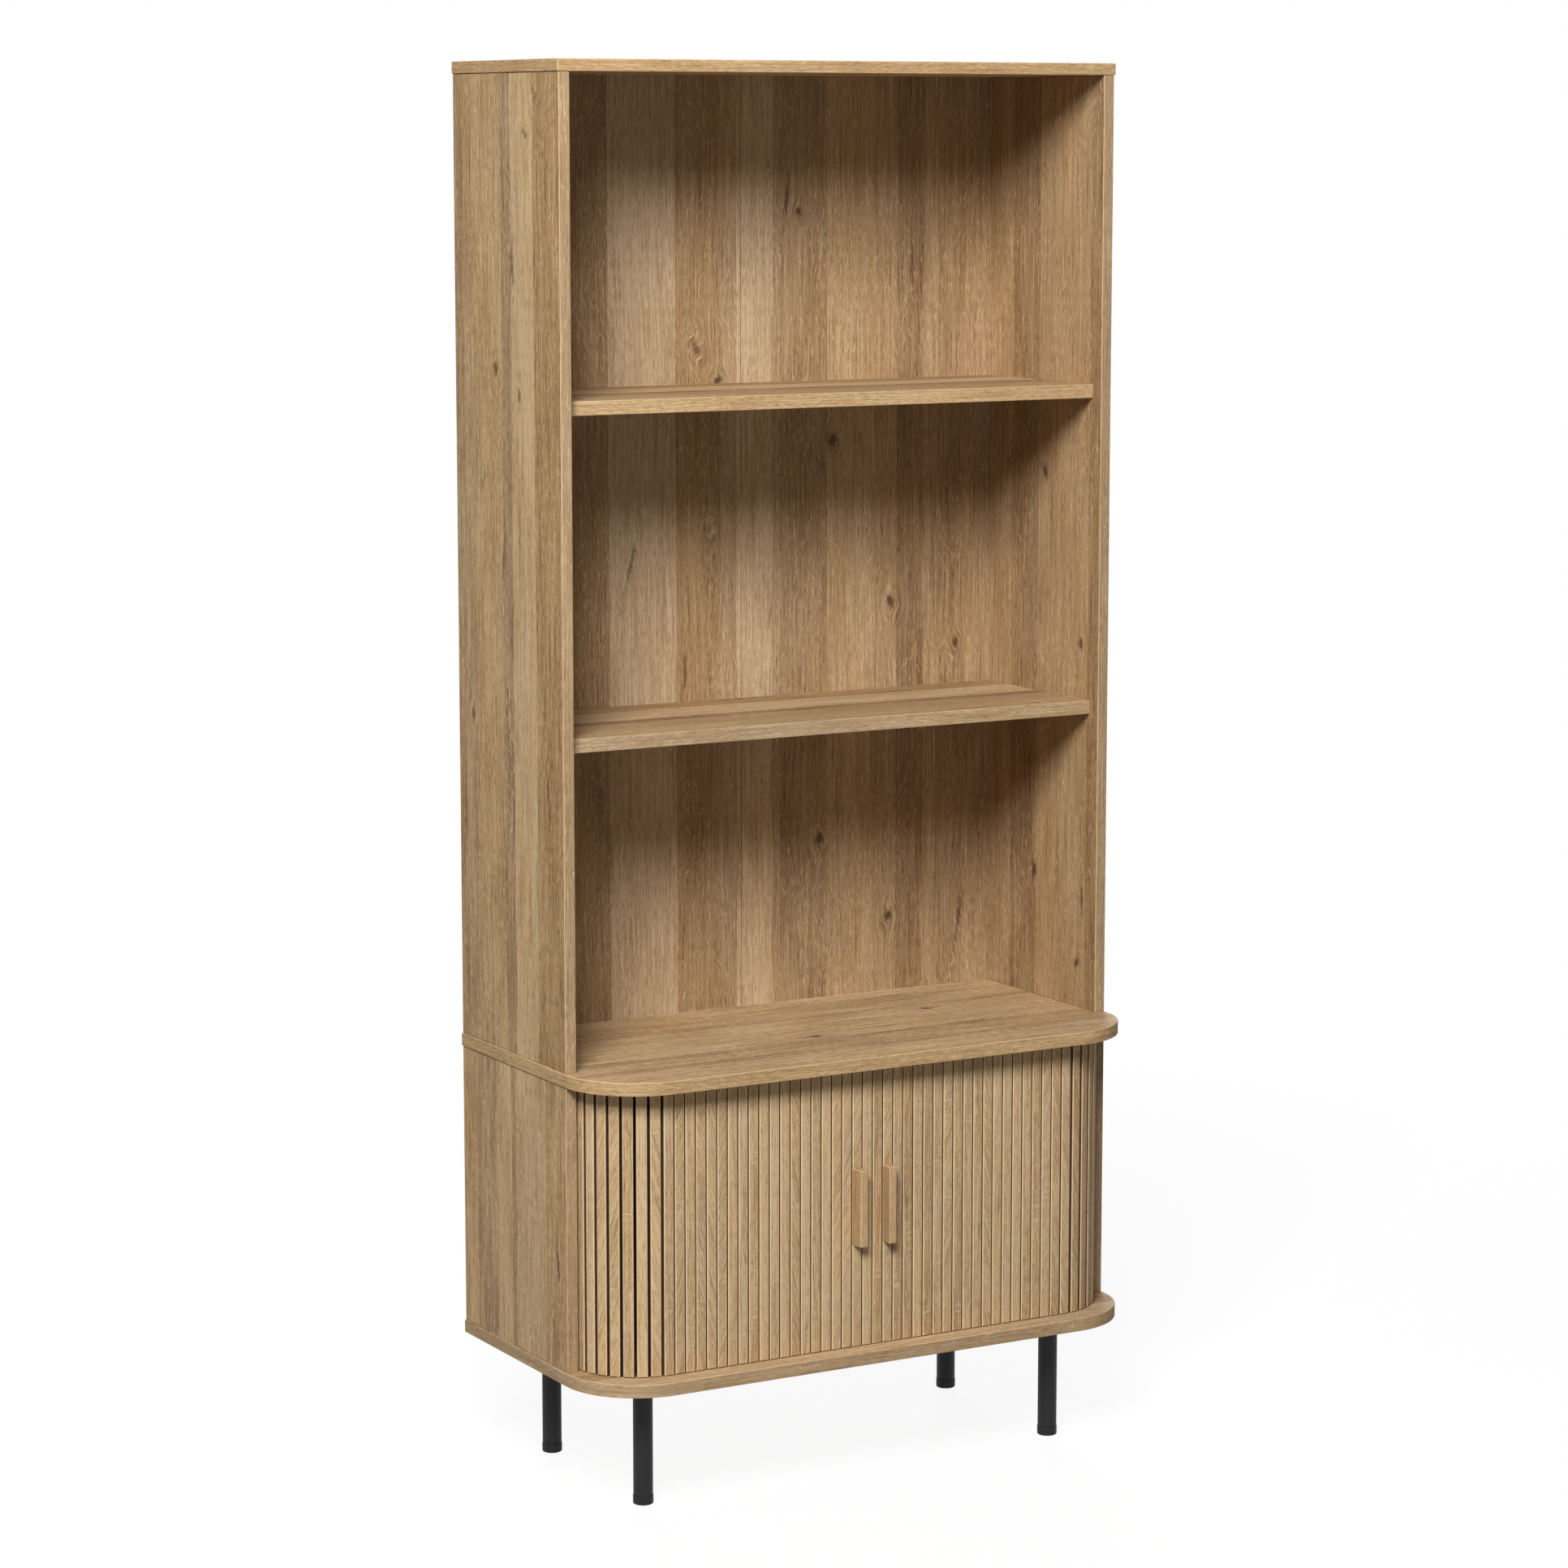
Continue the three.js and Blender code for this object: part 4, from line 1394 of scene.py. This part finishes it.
@dataclass
class SlattedDoor:
    """One door: slats glued to a cloth, and a grip.

    Attributes:
        word: left or right.
        side: -1 for the left door and 1 for the right one.
        track: The track it runs on.
        width: A slat's width.
        end_gap: Room over and under a slat.
        edge: Rounding of the slats' long front edges.
        end_edge: Rounding of the edges at their ends.
        arris_highlight: How pale the oak is on that rounding, a painted highlight; above 1 it is blended
            towards a paler colour still.
        tongue: Width and thickness of the tongues at the slats' ends.
        tongue_offset: How far their middle lies outside the cloth.
        cloth: The cloth's thickness.
        cloth_lead: How far the cloth in a corner starts before its first slat's middle.
        cloth_steps: Faces of the cloth round a stretch of the corner.
        grip_slope: How far the grip narrows towards its front.
        grip_edge: Rounding of the grip's edges.
        grip_start: Where the grain starts on the grips.
    """

    SEEDS = {-1: 11, 1: 29}
    LEANS = (0.0, 0.0, 0.0, 0.02, -0.03, 0.28, -0.34)
    LEAN_HEIGHT = 0.36
    LEVELS = (0.54, 0.58, 0.61, 0.64, 0.67, 0.70, 0.74)
    LEVEL_LIFT = 0.20
    # The left door's slats are drawn lighter and the right door's darker, each by this much.
    LEVEL_BY_SIDE = 0.04
    GRAIN_REACH = 9.0
    GRAIN_STEP = 0.37
    # Less than any rounding, so that only the rounding's own corners count.
    HAIR = 0.00002
    # A normal with a larger share along an axis belongs to a flat face.
    FLAT = 0.95

    word: str
    side: int
    track: Track
    width: float = 0.014
    end_gap: float = 0.0012
    edge: float = 0.0020
    end_edge: float = 0.0004
    arris_highlight: float = 1.2
    tongue: float = 0.003
    tongue_offset: float = 0.003
    cloth: float = 0.0006
    cloth_lead: float = 0.0002
    cloth_steps: int = 6
    grip_slope: float = 0.0031
    grip_edge: float = 0.0012
    grip_start: float = 3.0

    def __post_init__(self) -> None:
        """Seeds the slats' draws, the same on every run, and reads their heights off the CAD."""
        self.draw = random.Random(self.SEEDS[self.side])
        low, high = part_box("lower_side_left")
        self.low, self.high = low.z + self.end_gap, high.z - self.end_gap
        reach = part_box(f"door_{self.word}_slat_14")
        self.tongue_low, self.tongue_high = reach[0].z, reach[1].z

    def distance(self, number: int) -> float:
        """A slat's distance along the track, by its number from the middle of the front."""
        return self.track.pitch * (number - 0.5) - self.track.corner_x

    def slat(self) -> Shape:
        """Makes one slat with its tongues, on the cloth line at the origin.

        Returns:
            The slat, mapped, with a painted highlight on its rounded front edges as a tone.
        """
        half, face_y = self.width / 2, -self.track.slat_thickness
        mesh = block((-half, face_y, self.low), (half, 0, self.high))
        soften(mesh, self.edge, 3, lambda edge: is_upright(edge) and rearmost(edge) < -MM)
        soften(mesh, self.end_edge, 1, lambda edge: is_rim(edge) and rearmost(edge) < -MM)
        tone = mesh.verts.layers.float.new("tone")
        # The rounded front edges get a paler tone than any slat has: a painted highlight.
        for vert in mesh.verts:
            if face_y + self.HAIR < vert.co.y < face_y / 2 and abs(vert.co.x) < half - self.HAIR:
                vert[tone] = self.arris_highlight
        half = self.tongue / 2
        near = -self.tongue_offset - half
        for low, high in ((self.tongue_low, self.low), (self.high, self.tongue_high)):
            merged(mesh, block((-half, near, low), (half, near + self.tongue, high)))
        map_grain(mesh, Grain.UPRIGHT)
        for face in mesh.faces:
            face.material_index = int(abs(face.normal.x) > self.FLAT)
        return mesh

    def add_slat(self, group: Shape, number: int) -> None:
        """Adds one slat to a group, with its own stretch of grain and its own tone.

        Args:
            group: The shape that grows.
            number: The slat's number from the middle of the front.
        """
        known = len(group.faces)
        merged(group, self.slat(), self.track.place(self.distance(number), self.side))
        tone = group.verts.layers.float.get("tone")
        grain = grain_layer(group)
        lean = self.draw.choice(self.LEANS)
        level = self.draw.choice(self.LEVELS) + self.LEVEL_LIFT - self.LEVEL_BY_SIDE * self.side
        start = self.draw.uniform(0.0, self.GRAIN_REACH)
        aside = self.GRAIN_STEP * number
        group.faces.ensure_lookup_table()
        for face in group.faces[known:]:
            for loop in face.loops:
                across, along = loop[grain].uv
                loop[grain].uv = (across + aside + lean * (along - self.LEAN_HEIGHT), along + start)
                # The painted highlight on the rounded edges stays above the slat's own tone.
                loop.vert[tone] = max(level, loop.vert[tone])

    def lining(self, first: int, last: int) -> Shape:
        """Makes the cloth behind slats that move as one.

        Args:
            first: The first slat's number.
            last: The last slat's number.

        Returns:
            The cloth, in place.
        """
        track = self.track
        start, end = self.distance(first), self.distance(last)
        mesh = bmesh.new()
        if start < 0 or end > track.quarter or first == last:
            reach = (end - start + self.width) / 2
            sheet = block((-reach, 0.0, self.low), (reach, self.cloth, self.high))
            merged(mesh, sheet, track.place((start + end) / 2, self.side))
            return mesh
        merged(mesh, block((-self.cloth_lead, 0.0, self.low), (self.cloth_lead, self.cloth, self.high)))
        others = [face for face in mesh.faces if face.normal.x * self.side > -self.FLAT]
        bmesh.ops.delete(mesh, geom=others, context="FACES")
        mesh.transform(track.place(start, self.side))
        bmesh.ops.spin(
            mesh, geom=[*mesh.verts, *mesh.edges, *mesh.faces], axis=(0, 0, 1),
            cent=(self.side * track.corner_x, track.corner_y, 0), steps=self.cloth_steps,
            angle=self.side * (end - start) / track.radius, use_merge=False, use_duplicate=False)
        bmesh.ops.recalc_face_normals(mesh, faces=mesh.faces)
        return mesh

    def stretch(self, name: str, node: str, body: str, numbers: range) -> None:
        """Makes slats that move as one, and the cloth behind them.

        Args:
            name: What the pieces' names end in.
            node: The CAD node the slats stand for.
            body: The body they ride on.
            numbers: Their numbers from the middle of the front.
        """
        group = bmesh.new()
        for number in numbers:
            self.add_slat(group, number)
        kind = "oak_slat" if len(numbers) == 1 else "oak_slats"
        finished(group, f"{kind}_{name}", body, [SLAT_OAK, SLAT_FLANK], [node])
        cloth = self.lining(numbers[0], numbers[-1])
        map_grain(cloth, Grain.UPRIGHT)
        finished(cloth, f"canvas_{name}", body, [CANVAS])

    def grip(self) -> None:
        """Makes the grip: straight towards the other door, sloping on its far side."""
        node = f"door_{self.word}_handle"
        low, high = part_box(node)
        middle, front = (low.x + high.x) / 2, high.y - MM
        mesh = block(low, high)
        far = [vert for vert in mesh.verts if vert.co.y < front and (vert.co.x - middle) * self.side > 0]
        bmesh.ops.translate(mesh, vec=(-self.side * self.grip_slope, 0, 0), verts=far)
        soften(mesh, self.grip_edge, 4, lambda edge: min(vert.co.y for vert in edge.verts) < front)
        map_grain(mesh, Grain.UPRIGHT, self.grip_start + self.side)
        finishes = [GRIP_OAK, GRIP_FRONT_LIT, GRIP_ARRIS_HIGHLIGHT]
        for face in mesh.faces:
            # Front faces take the lighter copy of the oak, painted light; rounded edges the pale painted
            # highlight.
            finish = GRIP_FRONT_LIT if Facing.FRONT.holds(face.normal) else GRIP_OAK
            if max(abs(part) for part in face.normal) < self.FLAT:
                finish = GRIP_ARRIS_HIGHLIGHT
            face.material_index = finishes.index(finish)
        finished(mesh, f"oak_grip_{self.word}", f"door_{self.word}", finishes, [node])

    def build(self, front: range, passing_in: range, corner: range, passing_out: range,
              tail: range) -> None:
        """Makes the whole door.

        Args:
            front: Numbers of the slats that stay on the front run.
            passing_in: Numbers of the slats that pass on to the corner.
            corner: Numbers of the slats that stay on it.
            passing_out: Numbers of the slats that pass off it.
            tail: Numbers of the slats that stay beside the end panel.
        """
        word, door = self.word, f"door_{self.word}"
        self.stretch(f"{word}_front", f"{door}_front_slats", door, front)
        for number in [*passing_in, *passing_out]:
            node = f"{door}_slat_{number}"
            self.stretch(f"{word}_{number}", node, node, range(number, number + 1))
        for name, numbers in (("corner", corner), ("tail", tail)):
            self.stretch(f"{word}_{name}", f"{door}_{name}_slats", f"{door}_{name}", numbers)
        self.grip()


@dataclass
class Legs:
    """Four round legs with screwed plates and nylon glides.

    Attributes:
        radius: A leg's radius.
        edge: Rounding of its edges and of its plate's.
        steps: Faces round it.
        plate_radius: Its plate's radius.
        plate: How thick the plate is.
        weld_inside: How far the weld starts inside the leg's face.
        weld_outside: How far it reaches out along the plate.
        weld_height: How far it reaches down from the plate.
        overlap: How far the weld and the screws go into the plate.
        screws: Screws in one plate.
        screw_ring: How far they sit from the middle.
        screw_radius: Radius of a screw's head.
        screw_height: How far it stands down from the plate.
        screw_edge: Rounding of its head.
        screw_steps: Faces round it.
        glide_height: Height of a glide's foot.
        glide_edge: Rounding of the foot's lower edge.
        glide_upper_edge: Rounding of its upper edge.
        stem_gap: How much thinner than the leg its stem is, on each side.
        stem_steps: Faces round the stem.
    """

    radius: float = 0.0125
    edge: float = 0.0006
    steps: int = 64
    plate_radius: float = 0.030
    plate: float = 0.003
    weld_inside: float = 0.0004
    weld_outside: float = 0.0024
    weld_height: float = 0.0028
    overlap: float = 0.0002
    screws: int = 4
    screw_ring: float = 0.0222
    screw_radius: float = 0.0036
    screw_height: float = 0.0016
    screw_edge: float = 0.0011
    screw_steps: int = 24
    glide_height: float = 0.012
    glide_edge: float = 0.002
    glide_upper_edge: float = 0.0005
    stem_gap: float = 0.0023
    stem_steps: int = 48

    def leg(self, corner: str) -> None:
        """Makes one leg with its plate, weld and screws.

        Args:
            corner: Which corner it stands at.
        """
        node = f"leg_{corner}"
        low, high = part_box(node)
        under = high.z - self.plate
        middle = box_middle(node)
        tube = drum(self.radius, low.z, under, self.steps)
        plate = drum(self.plate_radius, under, high.z, self.steps)
        for part in (tube, plate):
            soften(part, self.edge, 2, is_rim)
        weld = drum(
            self.radius - self.weld_inside, under - self.weld_height, under + self.overlap, self.steps,
            self.radius + self.weld_outside)
        mesh = bmesh.new()
        for part in (tube, plate, weld):
            merged(mesh, part, middle)
        heads, face = bmesh.new(), under - MM
        for number in range(self.screws):
            head = drum(
                self.screw_radius, under - self.screw_height, under + self.overlap, self.screw_steps)
            soften(head, self.screw_edge, 3, lambda edge: is_rim(edge) and edge.verts[0].co.z < face)
            turn = math.pi / 4 + number * math.tau / self.screws
            offset = Vector((math.cos(turn), math.sin(turn), 0)) * self.screw_ring
            merged(heads, head, middle @ Matrix.Translation(offset))
        for shape in (mesh, heads):
            map_grain(shape, Grain.UPRIGHT)
        finished(mesh, f"steel_leg_{corner}", "carcass", [BLACK_STEEL], [node])
        finished(heads, f"steel_screws_{corner}", "carcass", [SCREW_STEEL])

    def glide(self, corner: str) -> None:
        """Makes the nylon glide under one leg.

        Args:
            corner: Which corner it stands at.
        """
        node = f"foot_glide_{corner}"
        low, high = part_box(node)
        collar = self.glide_height
        foot = drum((high.x - low.x) / 2, low.z, collar, self.steps)
        soften(foot, self.glide_edge, 4, lambda edge: is_rim(edge) and edge.verts[0].co.z < collar / 2)
        top = collar - MM / 10
        soften(foot, self.glide_upper_edge, 2, lambda edge: min(vert.co.z for vert in edge.verts) > top)
        mesh = bmesh.new()
        for part in (foot, drum(self.radius - self.stem_gap, collar, high.z, self.stem_steps)):
            merged(mesh, part, box_middle(node))
        map_grain(mesh, Grain.UPRIGHT)
        finished(mesh, f"nylon_glide_{corner}", "carcass", [BLACK_NYLON], [node])

    def build(self) -> None:
        """Makes all four legs and glides."""
        for corner in ("front_left", "front_right", "back_left", "back_right"):
            self.leg(corner)
            self.glide(corner)


@dataclass
class FittingCovers:
    """Oak-coloured covers on the fittings that hold the boards to the end panels.

    Attributes:
        radius: A cover's radius.
        steps: Faces round it.
        proud: How far it stands out of the panel; its edge is rounded over by as much.
        slot: Width of the slot across it.
        slot_depth: How deep the slot is.
        slot_slope: How far its walls slope inwards.
        lower_rise: How far above the middle board the lower ones sit.
        lower_shift: How far behind the upper ones they sit.
        lower_depth: How deep they go into the panel.
        grain_start: Where the grain starts on them.
    """

    radius: float = 0.0095
    steps: int = 40
    proud: float = 0.0004
    slot: float = 0.0020
    slot_depth: float = 0.0005
    slot_slope: float = 0.0003
    lower_rise: float = 0.0245
    lower_shift: float = 0.003
    lower_depth: float = 0.002
    grain_start: float = 5.0

    def cover(self, name: str, side: int, y: float, z: float, depth: float, nodes: list[str]) -> None:
        """Makes one cover with a shallow slot.

        Args:
            name: The piece's name.
            side: -1 on the left panel and 1 on the right one.
            y: Its middle, front to back.
            z: Its middle's height.
            depth: How deep it goes into the panel.
            nodes: The CAD nodes it stands for.
        """
        mesh = drum(self.radius, -depth, self.proud, self.steps)
        soften(mesh, self.proud, 2, lambda edge: is_rim(edge) and edge.verts[0].co.z > 0)
        half = self.slot / 2
        for offset in (-half, half):
            geometry = [*mesh.verts, *mesh.edges, *mesh.faces]
            bmesh.ops.bisect_plane(mesh, geom=geometry, plane_co=(offset, 0, 0), plane_no=(1, 0, 0))
        strip = [
            face for face in mesh.faces
            if Facing.TOP.holds(face.normal) and abs(face.calc_center_median().x) < half - MM / 10]
        bmesh.ops.inset_region(mesh, faces=strip, thickness=self.slot_slope, depth=-self.slot_depth)
        inner_face = abs(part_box("upper_side_right")[0].x)
        turn = Matrix.Rotation(-side * math.pi / 2, 4, "Y")
        mesh.transform(Matrix.Translation((side * inner_face, y, z)) @ turn)
        map_grain(mesh, Grain.UPRIGHT, self.grain_start)
        finished(mesh, name, "carcass", [COVER_OAK], nodes)

    def build(self) -> None:
        """Makes the covers at the top, which stand for fittings, and those over the middle board."""
        lower_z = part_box("upper_side_left")[0].z + self.lower_rise
        for word, side in (("left", -1), ("right", 1)):
            for row in ("front", "back"):
                node = f"cam_fitting_{row}_{word}"
                low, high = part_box(node)
                y, z = (low.y + high.y) / 2, (low.z + high.z) / 2
                self.cover(f"cover_top_{row}_{word}", side, y, z, high.x - low.x, [node])
                self.cover(
                    f"cover_low_{row}_{word}", side, y + self.lower_shift, lower_z, self.lower_depth, [])


@dataclass
class Studio:
    """Camera, lamps, world and floor.

    Attributes:
        eye: Where the camera stands.
        turn: How far it is turned towards the right, in degrees.
        tilt: How far it looks down, in degrees.
        lens: Its lens, in millimetres on the sensor's width.
        sensor: The sensor's width, in millimetres.
        sight: How far it sees.
        aim: Where the lamps look.
        fill: Strength of the soft fill from everywhere.
        floor_radius: The floor's radius.
        floor_steps: Corners round it.
    """

    SOFTBOXES = (
        ("key softbox", (-2.85, -3.4, 4.2), 1.7, 1.9, 352.0),
        ("high softbox", (-1.6, -3.4, 5.2), 1.6, 1.4, 30.0),
        ("fill softbox", (3.2, -4.4, 1.7), 2.6, 2.6, 3.0),
        ("rear softbox", (2.2, 4.6, 2.6), 2.6, 2.6, 190.0),
    )
    FLOOR = tint(156, 154, 151)
    FADE_RANGE = (1.0, 3.2)
    SEEN_FLOOR = ((0.0, (0.10, 0.10, 0.10, 1)), (1.0, BLACK))
    SEEN_GLOW = ((0.0, (0.91, 0.91, 0.91, 1)), (1.0, WHITE))

    eye: Place = (-2.78693, -4.84691, 1.70735)
    turn: float = 29.6007
    tilt: float = 8.4313
    lens: float = 100.861
    sensor: float = 36.0
    sight: float = 100.0
    aim: Place = (0, 0, 0.9)
    fill: float = 0.02
    floor_radius: float = 25.0
    floor_steps: int = 96

    def camera(self) -> None:
        """Sets the camera up."""
        data = bpy.data.cameras.new("camera")
        data.lens = self.lens
        data.sensor_width = self.sensor
        data.clip_end = self.sight
        made = bpy.data.objects.new("camera", data)
        made.location = self.eye
        made.rotation_euler = (math.radians(90 - self.tilt), 0.0, math.radians(-self.turn))
        bpy.context.scene.collection.objects.link(made)
        bpy.context.scene.camera = made

    def softbox(self, name: str, place: Place, width: float, height: float, power: float) -> None:
        """Hangs a large soft lamp that looks at the bookcase.

        Args:
            name: The lamp's name.
            place: Where it hangs.
            width: Its width.
            height: Its height.
            power: Its power in watts.
        """
        data = bpy.data.lights.new(name, "AREA")
        data.shape = "RECTANGLE"
        data.size = width
        data.size_y = height
        data.energy = power
        made = bpy.data.objects.new(name, data)
        made.location = place
        made.rotation_euler = (Vector(self.aim) - Vector(place)).to_track_quat("-Z", "Y").to_euler()
        bpy.context.scene.collection.objects.link(made)

    def world(self) -> None:
        """White where it is seen or mirrored, and a soft fill for everything else."""
        made = bpy.data.worlds.new("studio")
        made.use_nodes = True
        bpy.context.scene.world = made
        wiring = Wiring(made.node_tree)
        fill, white = made.node_tree.nodes["Background"], wiring.node("Background")
        for glow, strength in ((fill, self.fill), (white, 1.0)):
            glow.inputs["Color"].default_value = WHITE
            glow.inputs["Strength"].default_value = strength
        mix = wiring.fed(wiring.node("MixShader"), self.seen(wiring), fill.outputs[0], white.outputs[0])
        wiring.feed(made.node_tree.nodes["World Output"].inputs["Surface"], mix.outputs[0])

    def seen(self, wiring: Wiring) -> Socket:
        """Whether a ray comes from the camera or off something glossy or clear.

        Args:
            wiring: The wiring of the world or the material.

        Returns:
            The answer's socket, 0 or 1.
        """
        path = wiring.node("LightPath").outputs
        total = wiring.sum("ADD", path["Is Camera Ray"], path["Is Glossy Ray"])
        return wiring.sum("ADD", total, path["Is Transmission Ray"], clamp=True)

    def floor(self) -> None:
        """Lays a pale floor that is white in the picture and keeps a faint shadow."""
        mesh = bmesh.new()
        bmesh.ops.create_circle(mesh, cap_ends=True, segments=self.floor_steps, radius=self.floor_radius)
        data = bpy.data.meshes.new("floor")
        mesh.to_mesh(data)
        mesh.free()
        made = bpy.data.objects.new("floor", data)
        bpy.context.scene.collection.objects.link(made)
        material = bpy.data.materials.new("floor")
        material.use_nodes = True
        wiring = Wiring(material.node_tree)
        inputs = material.node_tree.nodes["Principled BSDF"].inputs
        place = wiring.node("TexCoord").outputs["Object"]
        length = wiring.fed(wiring.node("VectorMath", operation="LENGTH"), place).outputs["Value"]
        far = wiring.spread(length, *self.FADE_RANGE)
        seen = self.seen(wiring)
        pale = wiring.blend(seen, self.FLOOR, wiring.ramp(far, self.SEEN_FLOOR))
        glow = wiring.blend(seen, BLACK, wiring.ramp(far, self.SEEN_GLOW))
        wiring.feed(inputs["Base Color"], pale)
        wiring.feed(inputs["Emission Color"], glow)
        for word, value in (("Emission Strength", 1.0), ("Roughness", 1.0), ("Specular IOR Level", 0.0)):
            inputs[word].default_value = value
        data.materials.append(material)

    def build(self) -> None:
        """Sets up the whole studio."""
        self.camera()
        self.world()
        self.floor()
        for softbox in self.SOFTBOXES:
            self.softbox(*softbox)
        bpy.context.scene.view_settings.view_transform = "Standard"


def main() -> None:
    """Builds the studio and then the bookcase, part by part."""
    logging.basicConfig(level=logging.INFO, format="%(name)s: %(message)s")
    Studio().build()
    for build_group in (build_oak_flecks, build_oak_print, build_oak_knot, build_speckle):
        build_group()
    track = Track()
    Carcass().build(track)
    Legs().build()
    FittingCovers().build()
    for word, side in (("left", -1), ("right", 1)):
        SlattedDoor(word, side, track).build(
            front=range(1, 14), passing_in=range(14, 20), corner=range(20, 22), passing_out=range(22, 28),
            tail=range(28, 30))


if __name__ == "__main__":
    main()
